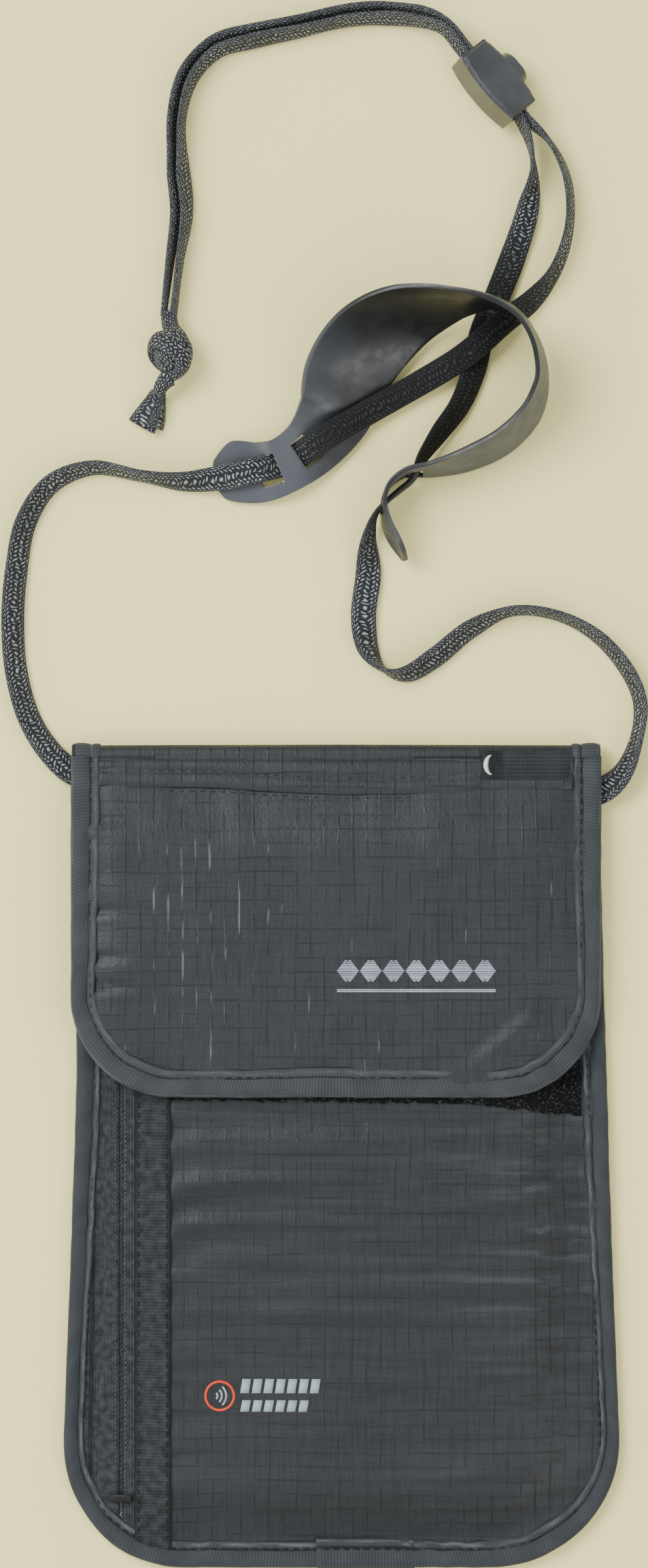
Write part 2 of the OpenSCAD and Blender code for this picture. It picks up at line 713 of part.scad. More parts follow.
module neck_pad() {
    points = [for (p = pad) [p[0], p[1], lying_z(p[2], p[3], p[4], pad_t)]];
    color("gray") difference() {
        tube(flat_rings(points, [for (p = pad) p[3]], [for (p = pad) p[4]], pad_t, strip));
        for (s = pad_slots) translate([s[0], s[1], s[2]]) rotate([0, 0, s[4]]) rotate([s[3], 0, 0])
            translate([-pad_slot_l / 2, -pad_slot / 2, -3]) cube([pad_slot_l, pad_slot, 6]);
    }
}

// ---------- cord lock ----------

// Outline of the barrel: two long bowed sides and flat ends.
function barrel(inset, steps = 12) = let (
        bow = (pow(lock_l / 2, 2) + pow((lock_w - lock_end_w) / 2, 2)) / (lock_w - lock_end_w),
        half = lock_l / 2 - inset,
        side = [for (i = [0:steps]) let (x = -half + 2 * half * i / steps)
            [x, lock_w / 2 - inset - bow + sqrt(bow * bow - x * x)]]
    ) concat(side, [for (i = [steps:-1:0]) [side[i][0], -side[i][1]]]);

module lock_block(inset, height) {
    translate([0, 0, -height / 2]) linear_extrude(height) polygon(barrel(inset));
}

module button_prism(grow, height) {
    r = button_h / 2 + grow;
    x = (button_l - button_h) / 2;
    linear_extrude(height) polygon(concat(arc(x, 0, r, -90, 90, 16), arc(-x, 0, r, 90, 270, 16)));
}

module lock_body() {
    color("dimgray") in_lock() difference() {
        union() {
            lock_block(0, lock_h - 1.6);
            lock_block(0.8, lock_h);
        }
        cube([lock_l + 2, lock_slot_h, lock_slot_w], center = true);
        translate([0, bore_floor, 0]) rotate([-90, 0, 0]) button_prism(button_clearance, lock_w);
    }
}

module lock_button() {
    window = lock_slot_h + button_travel;
    head = lock_w / 2 + button_out - button_bottom;
    color("dimgray") in_lock() translate([0, button_bottom, 0]) difference() {
        rotate([-90, 0, 0]) button_prism(0, head);
        translate([-button_l, button_bar, -lock_slot_w / 2]) cube([2 * button_l, window, lock_slot_w]);
    }
}

// Coil spring between the bore's floor and the button.
module lock_spring() {
    wire = 0.4;
    turns = 3;
    steps = 12;
    coil_r = 1.8;
    length = button_bottom - bore_floor - wire - play;
    points = [for (i = [0:turns * steps]) let (a = 360 * i / steps)
        [coil_r * cos(a), coil_r * sin(a), length * i / (turns * steps)]];
    rings = [for (i = [0:len(points) - 1]) let (a = 360 * i / steps)
        [for (k = [5:-1:0]) points[i]
            + wire / 2 * (cos(60 * k) * [cos(a), sin(a), 0] + sin(60 * k) * [0, 0, 1])]];
    color("silver") in_lock() translate([0, bore_floor + wire / 2 + play / 2, 0]) rotate([-90, 0, 0]) tube(rings);
}

back_panel();
shield_liner();
pocket_divider();
front_panel();
mouth_binding();
edge_binding();
binding_overlap();
loop_tape();
printed_mark();
zip_facing();
zip_tape_left();
zip_tape_right();
zip_coil_left();
zip_coil_right();
zip_top_stops();
zip_bottom_stop();
zip_slider();
zip_slider_bridge();
zip_pull();
top_fold();
flap_panel();
flap_lining();
flap_binding();
flap_hem();
hook_tape();
flap_emblem();
at_fold() cord_anchor_left();
at_fold() cord_anchor_right();
at_fold() cord_left();
at_fold() cord_right();
at_fold() cord_knot();
at_fold() cord_tail();
at_fold() neck_pad();
at_fold() lock_body();
at_fold() lock_button();
at_fold() lock_spring();
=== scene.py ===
"""Looks of a flat neck pouch wallet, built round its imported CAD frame.

Everything is laid out in the CAD's own frame: the pouch lies on its back, +Y is towards the fold
of the flap and +Z is up out of the front. Sizes in this file are millimetres and meshes are made
in metres.
"""

import logging
import math
from dataclasses import dataclass, field
from enum import Enum
from typing import Callable, Sequence

import bmesh
import bpy
import numpy as np
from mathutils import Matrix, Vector


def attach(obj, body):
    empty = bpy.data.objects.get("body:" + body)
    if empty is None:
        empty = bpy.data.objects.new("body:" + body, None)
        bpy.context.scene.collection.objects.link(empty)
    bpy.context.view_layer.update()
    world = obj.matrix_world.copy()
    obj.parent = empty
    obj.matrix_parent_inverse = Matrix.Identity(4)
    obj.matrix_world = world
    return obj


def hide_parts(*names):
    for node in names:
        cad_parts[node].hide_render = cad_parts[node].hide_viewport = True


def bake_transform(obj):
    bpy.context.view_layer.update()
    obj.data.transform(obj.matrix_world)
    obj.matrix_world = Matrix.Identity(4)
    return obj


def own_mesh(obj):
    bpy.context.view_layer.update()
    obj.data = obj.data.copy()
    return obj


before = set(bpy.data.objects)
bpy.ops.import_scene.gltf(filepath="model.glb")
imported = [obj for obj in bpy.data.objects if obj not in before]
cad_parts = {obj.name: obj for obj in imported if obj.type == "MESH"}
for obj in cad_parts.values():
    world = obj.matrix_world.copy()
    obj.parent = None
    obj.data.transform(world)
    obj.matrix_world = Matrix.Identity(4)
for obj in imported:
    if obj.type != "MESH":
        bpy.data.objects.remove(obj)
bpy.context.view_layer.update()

MM = 0.001
LOG = logging.getLogger("neck_pouch")

# --- The cord's and pad's routes, as the CAD lays them: [x, y, lift, roll] ---

RUN_LEFT = (
    (-58, 97, 1.3, 4), (-66, 97.4, 1.3, 8), (-72, 102, 0.6, 24), (-78, 111, 0, 34),
    (-81.5, 123, 0, 36), (-82.5, 136, 0, 34), (-81.5, 150, 0, 36), (-79, 162, 0, 40),
    (-72.5, 171.5, 0, 50), (-62, 175.5, 0, 62), (-50, 173.5, 0, 68), (-39, 172, 0.6, 48),
    (-29, 173, 1.9, 22), (-20.8, 174.8, 2.6, 12), (-14.5, 176.4, 0.3, 9), (-10.5, 178.2, 0.4, 10),
    (-5.5, 181.3, 3.7, 14), (-1.5, 183.9, 4.4, 18), (8, 189.5, 2, 22), (20, 196.3, 1.4, 20),
    (31, 202.8, 3.4, 20), (36.5, 207, 4, 20), (43, 212.8, 2.2, 26), (50, 218.3, 0.4, 40),
    (56, 226, 0, 64), (59.5, 237, 0, 74), (59, 249, 0, 77), (54.8, 258, 0.8, 86),
)
RUN_RIGHT = (
    (58, 92.5, 1.3, 176), (67, 93, 1.3, 170), (72.5, 97, 0.3, 138), (76.5, 106, 0, 116),
    (77.5, 116, 0, 114), (73.5, 125, 0, 117), (66, 133, 0, 115), (56, 138, 0, 111),
    (45, 139, 0, 113), (34.5, 134.5, 0, 128), (25, 127, 0, 136), (18, 123, 0, 124),
    (12.5, 123.8, 0, 88), (8.3, 129, 0, 40), (7, 138, 0, 14), (8.2, 148, 0, 12),
    (8.2, 157, 0, 58), (9.8, 163.2, 1.4, 84), (12.9, 166.9, 1.9, 88), (16.2, 169.7, 1.9, 88),
    (19.3, 172.4, 1.9, 86), (21.7, 177.6, 1.1, 70), (26.2, 184.2, 0.2, 50), (31.5, 191.5, 0, 38),
    (35.3, 201, 0, 24), (37, 209, 0, 16), (41, 219, 0, 10), (45, 229, 0, 14),
    (48.8, 241, 0, 32), (50.3, 252, 0.6, 82),
)
PAIR = (
    (22.5, 290, 2.2, 104), (15, 291.2, 0.6, 108), (4, 290.9, 0, 110), (-10, 287.9, 0, 112),
    (-22, 285.4, 0, 114), (-31, 282.6, 0, 116), (-37.5, 275.5, 0, 112), (-40.5, 265, 0, 104),
    (-40.3, 252, 0, 112), (-39.3, 241, 0, 116), (-41, 229, 0.2, 108), (-42.8, 214, 1, 100),
)
PAD = (
    (-31.5, 175.6, 0, 4, 9), (-28, 175.2, 0, 5, 14.5), (-20, 174.4, 0, 6, 15.5),
    (-13, 176.3, 2, 8, 14.5), (-6, 181.5, 0.3, 14, 16), (-0.5, 189.5, 0, 22, 20),
    (2.5, 199.5, 0, 28, 24), (8.5, 208.5, 0, 38, 26), (18, 215.5, 0.6, 55, 26),
    (28, 218.3, 3.4, 74, 25), (37.5, 218, 6.2, 88, 24), (45.8, 214.3, 6.2, 94, 23),
    (51, 207, 3.4, 97, 22), (52.8, 198.5, 1, 99, 21), (50.5, 189.5, 0, 104, 20),
    (43.5, 182, 0, 108, 18), (34, 177.3, 0, 108, 16), (24.5, 174.8, 0, 101, 14.5),
    (17.5, 173.8, 0, 94, 14), (13.4, 170.6, 0, 90, 14), (12.2, 166.2, 0, 88, 14),
    (13, 161.5, 0, 82, 14), (15.2, 156.5, 0, 74, 13), (17.6, 152, 0, 68, 8),
)


# --- Small tools ---


def linear(code: str) -> tuple[float, float, float, float]:
    """Turns an sRGB hex colour into linear RGBA.

    Args:
        code: Six hex digits, with or without a leading #.

    Returns:
        Linear red, green and blue from 0 to 1, and an alpha of 1.
    """
    code = code.lstrip("#")
    parts = [int(code[i : i + 2], 16) / 255 for i in (0, 2, 4)]
    rgb = [p / 12.92 if p <= 0.04045 else ((p + 0.055) / 1.055) ** 2.4 for p in parts]
    return (rgb[0], rgb[1], rgb[2], 1.0)


def join(
    tree: bpy.types.NodeTree, source: bpy.types.Node | bpy.types.NodeSocket, socket: bpy.types.NodeSocket
) -> None:
    """Links a result to a socket.

    Args:
        tree: The tree that holds both.
        source: An output socket, or a node for the one result it gives.
        socket: The socket that takes the result.
    """
    if isinstance(source, bpy.types.Node):
        source = next(out for out in source.outputs if out.enabled)
    tree.links.new(source, socket)


def add(tree: bpy.types.NodeTree, kind: str, inputs: dict | tuple = (), **settings) -> bpy.types.Node:
    """Adds a node with its settings and links.

    Args:
        tree: The tree that gets the node.
        kind: The node's type name, which in a shader node's case leaves out ShaderNode.
        inputs: Values, output sockets or nodes: a tuple from the first input on, or by name or number.
        **settings: Attributes of the node.

    Returns:
        The new node.
    """
    node = tree.nodes.new(kind if "Node" in kind or "Group" in kind else "ShaderNode" + kind)
    for name, value in settings.items():
        setattr(node, name, value)
    pairs = inputs.items() if isinstance(inputs, dict) else enumerate(inputs)
    for key, value in pairs:
        socket = node.inputs[key]
        if isinstance(value, (bpy.types.Node, bpy.types.NodeSocket)):
            join(tree, value, socket)
        else:
            socket.default_value = value
    return node


def smooth(t: np.ndarray | float) -> np.ndarray | float:
    """Eases 0 to 1 with level ends."""
    t = np.clip(t, 0.0, 1.0)
    return t * t * (3 - 2 * t)


def soft_noise(x: np.ndarray, y: np.ndarray, size: float, seed: int) -> np.ndarray:
    """Smooth value noise from -1 to 1.

    Args:
        x: Places along X, in millimetres.
        y: Places along Y, in millimetres.
        size: Distance between the noise's lattice points, in millimetres.
        seed: Seed of the lattice.

    Returns:
        The noise at each place.
    """
    lattice = np.random.default_rng(seed).uniform(-1, 1, (128, 128))
    u, v = np.asarray(x, float) / size + 64, np.asarray(y, float) / size + 64
    i, j = np.floor(u).astype(int), np.floor(v).astype(int)
    fu, fv = smooth(u - i), smooth(v - j)
    i, j = i % 127, j % 127
    low = lattice[i, j] * (1 - fu) + lattice[i + 1, j] * fu
    high = lattice[i, j + 1] * (1 - fu) + lattice[i + 1, j + 1] * fu
    return low * (1 - fv) + high * fv


def spline(points: np.ndarray, step: float) -> np.ndarray:
    """Passes a smooth curve through points.

    Args:
        points: Rows of numbers, of which the first three are a place in millimetres.
        step: Distance between samples, in millimetres.

    Returns:
        Rows sampled along the curve, with the other columns interpolated alike.
    """
    p = np.vstack([2 * points[0] - points[1], points, 2 * points[-1] - points[-2]])
    rows = []
    for k in range(1, len(p) - 2):
        a, b, c, d = p[k - 1], p[k], p[k + 1], p[k + 2]
        gaps = [max(np.linalg.norm(n[:3] - m[:3]), 1e-6) ** 0.5 for m, n in ((a, b), (b, c), (c, d))]
        t1, t2 = gaps[0], gaps[0] + gaps[1]
        t3 = t2 + gaps[2]
        count = max(2, int(round(np.linalg.norm(c[:3] - b[:3]) / step)))
        for t in np.linspace(t1, t2, count, endpoint=k == len(p) - 3):
            ab = (t1 - t) / t1 * a + t / t1 * b
            bc = (t2 - t) / (t2 - t1) * b + (t - t1) / (t2 - t1) * c
            cd = (t3 - t) / (t3 - t2) * c + (t - t2) / (t3 - t2) * d
            abc = (t2 - t) / t2 * ab + t / t2 * bc
            bcd = (t3 - t) / (t3 - t1) * bc + (t - t1) / (t3 - t1) * cd
            rows.append((t2 - t) / (t2 - t1) * abc + (t - t1) / (t2 - t1) * bcd)
    return np.array(rows)


def along(points: np.ndarray) -> np.ndarray:
    """Distance from the start at each of the points."""
    return np.concatenate([[0.0], np.cumsum(np.linalg.norm(np.diff(points, axis=0), axis=1))])


def directions(points: np.ndarray) -> np.ndarray:
    """Unit direction of travel at each of the points."""
    t = np.gradient(points, axis=0)
    return t / np.linalg.norm(t, axis=1)[:, None]


def make_object(
    name: str,
    verts: np.ndarray,
    faces: Sequence[Sequence[int]],
    uvs: np.ndarray | None = None,
    material: bpy.types.Material | None = None,
) -> bpy.types.Object:
    """Makes a smooth-shaded mesh object.

    Args:
        name: The piece's name.
        verts: Corners in millimetres.
        faces: Corner numbers of each face, anticlockwise from outside.
        uvs: One UV place for each corner, in millimetres along the cloth.
        material: The piece's material.

    Returns:
        The new object, at the origin.
    """
    mesh = bpy.data.meshes.new(name)
    mesh.from_pydata((np.asarray(verts) * MM).tolist(), [], [list(f) for f in faces])
    if uvs is not None:
        layer = mesh.uv_layers.new(name="UVMap")
        corners = np.zeros(len(mesh.loops), np.int64)
        mesh.loops.foreach_get("vertex_index", corners)
        layer.data.foreach_set("uv", np.asarray(uvs, np.float32)[corners].ravel())
    mesh.polygons.foreach_set("use_smooth", [True] * len(mesh.polygons))
    if material:
        mesh.materials.append(material)
    mesh.validate()
    obj = bpy.data.objects.new(name, mesh)
    bpy.context.scene.collection.objects.link(obj)
    return obj


def plain_mesh(obj: bpy.types.Object) -> bpy.types.Object:
    """Applies an object's modifiers.

    Args:
        obj: An object with live modifiers.

    Returns:
        The same object, whose mesh is the modifiers' result.
    """
    bpy.context.view_layer.update()
    evaluated = obj.evaluated_get(bpy.context.evaluated_depsgraph_get())
    mesh = bpy.data.meshes.new_from_object(evaluated)
    obj.modifiers.clear()
    old, obj.data = obj.data, mesh
    mesh.name = obj.name
    bpy.data.meshes.remove(old)
    return obj


def grid_sheet(
    name: str,
    points: np.ndarray,
    uv: np.ndarray,
    thickness: float,
    material: bpy.types.Material,
    keep: np.ndarray | None = None,
    offset: float = -1.0,
    behind: bpy.types.Material | None = None,
) -> bpy.types.Object:
    """Makes a closed sheet from a grid of points.

    Args:
        name: The piece's name.
        points: Grid of places, rows by columns by three, in millimetres.
        uv: Grid of UV places, rows by columns by two.
        thickness: The sheet's thickness, in millimetres.
        material: The sheet's material.
        keep: Which of the grid's cells are cloth, or None for all of them.
        offset: -1 puts the thickness behind the points, 0 half on each side.
        behind: The material of the sheet's other side, where it differs.

    Returns:
        The closed sheet.
    """
    rows, cols = points.shape[:2]
    index = np.arange(rows * cols).reshape(rows, cols)
    quads = np.stack([index[:-1, :-1], index[:-1, 1:], index[1:, 1:], index[1:, :-1]], -1)
    quads = quads.reshape(-1, 4) if keep is None else quads[keep]
    used = np.unique(quads)
    renumber = np.full(rows * cols, -1)
    renumber[used] = np.arange(len(used))
    obj = make_object(
        name, points.reshape(-1, 3)[used], renumber[quads], uv.reshape(-1, 2)[used], material
    )
    wall = obj.modifiers.new("wall", "SOLIDIFY")
    wall.thickness = thickness * MM
    wall.offset = offset
    wall.use_even_offset = False
    if behind:
        obj.data.materials.append(behind)
        wall.material_offset = 1
    return plain_mesh(obj)


def swept(
    name: str,
    rings: np.ndarray,
    material: bpy.types.Material,
    round_scale: float = 1.0,
) -> bpy.types.Object:
    """Makes a closed tube through rings of points.

    Args:
        name: The piece's name.
        rings: Rings by points by three, in millimetres, anticlockwise seen from the tube's end.
        material: The tube's material.
        round_scale: Length of the section's outline, for the UV map, in millimetres.

    Returns:
        The capped tube, whose UV map runs round it (U) and along it (V), in millimetres.
    """
    n, m = rings.shape[:2]
    closed = np.concatenate([rings, rings[:, :1]], axis=1)
    v = np.repeat(along(rings.mean(axis=1))[:, None], m + 1, axis=1)
    u = np.repeat(np.linspace(0, round_scale, m + 1)[None, :], n, axis=0)
    index = np.arange(n * (m + 1)).reshape(n, m + 1)
    quads = np.stack([index[:-1, :-1], index[:-1, 1:], index[1:, 1:], index[1:, :-1]], -1)
    faces = quads.reshape(-1, 4).tolist()
    faces += [index[0, :m][::-1].tolist(), index[-1, :m].tolist()]
    obj = make_object(name, closed.reshape(-1, 3), faces, np.stack([u, v], -1).reshape(-1, 2), material)
    weld(obj)
    return obj


def weld(obj: bpy.types.Object, limit: float = 1e-6) -> None:
    """Merges a mesh's doubled corners and turns its faces outwards.

    Args:
        obj: The object to mend.
        limit: Distance under which two corners are one, in metres.
    """
    mesh = bmesh.new()
    mesh.from_mesh(obj.data)
    bmesh.ops.remove_doubles(mesh, verts=mesh.verts, dist=limit)
    bmesh.ops.recalc_face_normals(mesh, faces=mesh.faces)
    mesh.to_mesh(obj.data)
    mesh.free()


def bevelled_copy(node: str, name: str, width: float, material: bpy.types.Material) -> bpy.types.Object:
    """Copies a CAD node with its sharp edges rounded.

    Args:
        node: The CAD node's name.
        name: The new piece's name.
        width: Width of the rounding, in millimetres.
        material: The piece's material.

    Returns:
        The copy.
    """
    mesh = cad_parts[node].data.copy()
    obj = bpy.data.objects.new(name, mesh)
    bpy.context.scene.collection.objects.link(obj)
    mesh.materials.clear()
    mesh.materials.append(material)
    work = bmesh.new()
    work.from_mesh(mesh)
    bmesh.ops.remove_doubles(work, verts=work.verts, dist=1e-6)
    bmesh.ops.dissolve_limit(work, angle_limit=math.radians(1), verts=work.verts, edges=work.edges)
    work.to_mesh(mesh)
    work.free()
    bevel = obj.modifiers.new("rounding", "BEVEL")
    bevel.width = width * MM
    bevel.segments = 3
    bevel.limit_method = "ANGLE"
    bevel.angle_limit = math.radians(38)
    bevel.use_clamp_overlap = True
    plain_mesh(obj)
    obj.data.polygons.foreach_set("use_smooth", [True] * len(obj.data.polygons))
    obj.data.set_sharp_from_angle(angle=math.radians(50))
    return obj


def softened_copy(
    node: str, name: str, voxel: float, passes: int, material: bpy.types.Material
) -> bpy.types.Object:
    """Copies a moulded CAD node with every edge worn round.

    Args:
        node: The CAD node's name.
        name: The new piece's name.
        voxel: Size of the new faces, in millimetres.
        passes: Rounds of smoothing.
        material: The piece's material.

    Returns:
        The copy.
    """
    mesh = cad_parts[node].data.copy()
    obj = bpy.data.objects.new(name, mesh)
    bpy.context.scene.collection.objects.link(obj)
    mesh.materials.clear()
    mesh.materials.append(material)
    weld(obj)
    skin = obj.modifiers.new("skin", "REMESH")
    skin.mode, skin.voxel_size, skin.use_smooth_shade = "VOXEL", voxel * MM, True
    wear = obj.modifiers.new("wear", "SMOOTH")
    wear.factor, wear.iterations = 0.5, passes
    plain_mesh(obj)
    obj.data.polygons.foreach_set("use_smooth", [True] * len(obj.data.polygons))
    return obj


class Body(Enum):
    """CAD bodies that pieces ride on."""

    POUCH = "pouch"
    FLAP = "flap"
    SLIDER = "zip_slider"
    PULL = "zip_pull"
    LOCK = "cord_lock"
    BUTTON = "lock_button"


def settle(obj: bpy.types.Object) -> None:
    """Lets the pouch's soft sides lie a little askew, as its stuffed flat seams pull them.

    Args:
        obj: A piece of the pouch, whose outer few millimetres move.
    """
    count = len(obj.data.vertices)
    at = np.empty(count * 3, np.float32)
    obj.data.vertices.foreach_get("co", at)
    at = at.reshape(-1, 3)
    x, y = at[:, 0] / MM, at[:, 1] / MM
    left = np.interp(y, (-105, -72, -41, -15, 21, 60, 88), (0.6, 0.9, 1.5, 1.9, 2.3, 1.4, 0.0))
    right = np.interp(y, (-105, -82, -70, -40, -9, 21, 60, 88), (1.2, 1.7, 1.8, 1.2, 0.85, 0.5, 0.2, 0.0))
    # The zip stays straight; the lower right corner swings out as a whole.
    inner = np.where(x < 0, 57.0, np.interp(y, (-105, -80, -60), (15.0, 36.0, 57.0)))
    reach = np.where(x < 0, 6.5, np.interp(y, (-105, -80, -60), (45.0, 26.0, 6.5)))
    at[:, 0] += np.where(x < 0, left, right) * smooth((np.abs(x) - inner) / reach) * MM
    obj.data.vertices.foreach_set("co", at.ravel())
    obj.data.update()


def fit(obj: bpy.types.Object, body: Body, slot: str, *nodes: str) -> bpy.types.Object:
    """Puts a finished piece on its CAD body.

    Args:
        obj: The piece.
        body: The body that it rides on.
        slot: Name of the piece's material slot, which is not used.
        *nodes: CAD nodes that it stands for.

    Returns:
        The piece.
    """
    if body is Body.POUCH:
        settle(obj)
    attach(obj, body.value)
    if nodes:
        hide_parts(*nodes)
    LOG.info("%s: %d faces on %s", obj.name, len(obj.data.polygons), body.value)
    return obj


# --- Finishes ---


@dataclass(frozen=True)
class Finish:
    """A real material: colours in sRGB hex and how its surface scatters light."""

    name: str
    colour: str
    second: str
    roughness: float = 0.6
    specular: float = 0.4
    sheen: float = 0.0
    coat: float = 0.0
    metallic: float = 0.0

    def start(self) -> tuple[bpy.types.Material, bpy.types.NodeTree, bpy.types.Node]:
        """Makes the material with its shader.

        Returns:
            The material, its tree and its Principled shader.
        """
        material = bpy.data.materials.new(self.name)
        material.use_nodes = True
        tree = material.node_tree
        tree.nodes.clear()
        shader = add(
            tree,
            "BsdfPrincipled",
            {
                "Base Color": linear(self.colour),
                "Roughness": self.roughness,
                "Metallic": self.metallic,
                "Specular IOR Level": self.specular,
                "Sheen Weight": self.sheen,
                "Coat Weight": self.coat,
                "Coat Roughness": 0.25,
            },
        )
        add(tree, "OutputMaterial", {"Surface": shader.outputs[0]})
        return material, tree, shader


def place(tree: bpy.types.NodeTree, uv: bool = False) -> bpy.types.NodeSocket:
    """Gives coordinates in millimetres.

    Args:
        tree: The material's tree.
        uv: Takes them from the UV map, and not from the object.

    Returns:
        The coordinates' socket.
    """
    source = add(tree, "TexCoord")
    socket = source.outputs["UV" if uv else "Object"]
    if uv:
        return socket
    return add(tree, "VectorMath", {0: socket, "Scale": 1000.0}, operation="SCALE").outputs[0]


# Settings that many nodes share.
EASED = {"interpolation_type": "SMOOTHSTEP"}
COLOURS = {"data_type": "RGBA"}


def patches(
    tree: bpy.types.NodeTree, vector: bpy.types.Node | bpy.types.NodeSocket, scale: float, detail: float,
    low: float, high: float, least: float = 0.0, most: float = 1.0
) -> bpy.types.Node:
    """Spreads soft patches.

    Args:
        tree: The material's tree.
        vector: Coordinates, in millimetres.
        scale: Patches to a millimetre.
        detail: How many finer layers break them up.
        low: Noise at which a patch starts.
        high: Noise at which it is full.
        least: Result between the patches.
        most: Result inside them.

    Returns:
        The node that gives the result.
    """
    cloud = add(tree, "TexNoise", {"Vector": vector, "Scale": scale, "Detail": detail})
    return add(tree, "MapRange", (cloud, low, high, least, most), **EASED)


def line_grid(tree: bpy.types.NodeTree, value: bpy.types.Node, pitch: float, width: float) -> bpy.types.Node:
    """Draws thin lines that repeat.

    Args:
        tree: The material's tree.
        value: A coordinate, in millimetres.
        pitch: Distance between the lines, in millimetres.
        width: Width of a line, in millimetres.

    Returns:
        The node whose result is 1 on a line and 0 between lines.
    """
    share = add(tree, "Math", (add(tree, "Math", (value, pitch), operation="DIVIDE"),), operation="FRACT")
    offset = add(tree, "Math", (share, 0.5), operation="SUBTRACT")
    centred = add(tree, "Math", (offset,), operation="ABSOLUTE")
    return add(tree, "MapRange", (centred, 0.5 * width / pitch, 0.95 * width / pitch, 1.0, 0.0), **EASED)


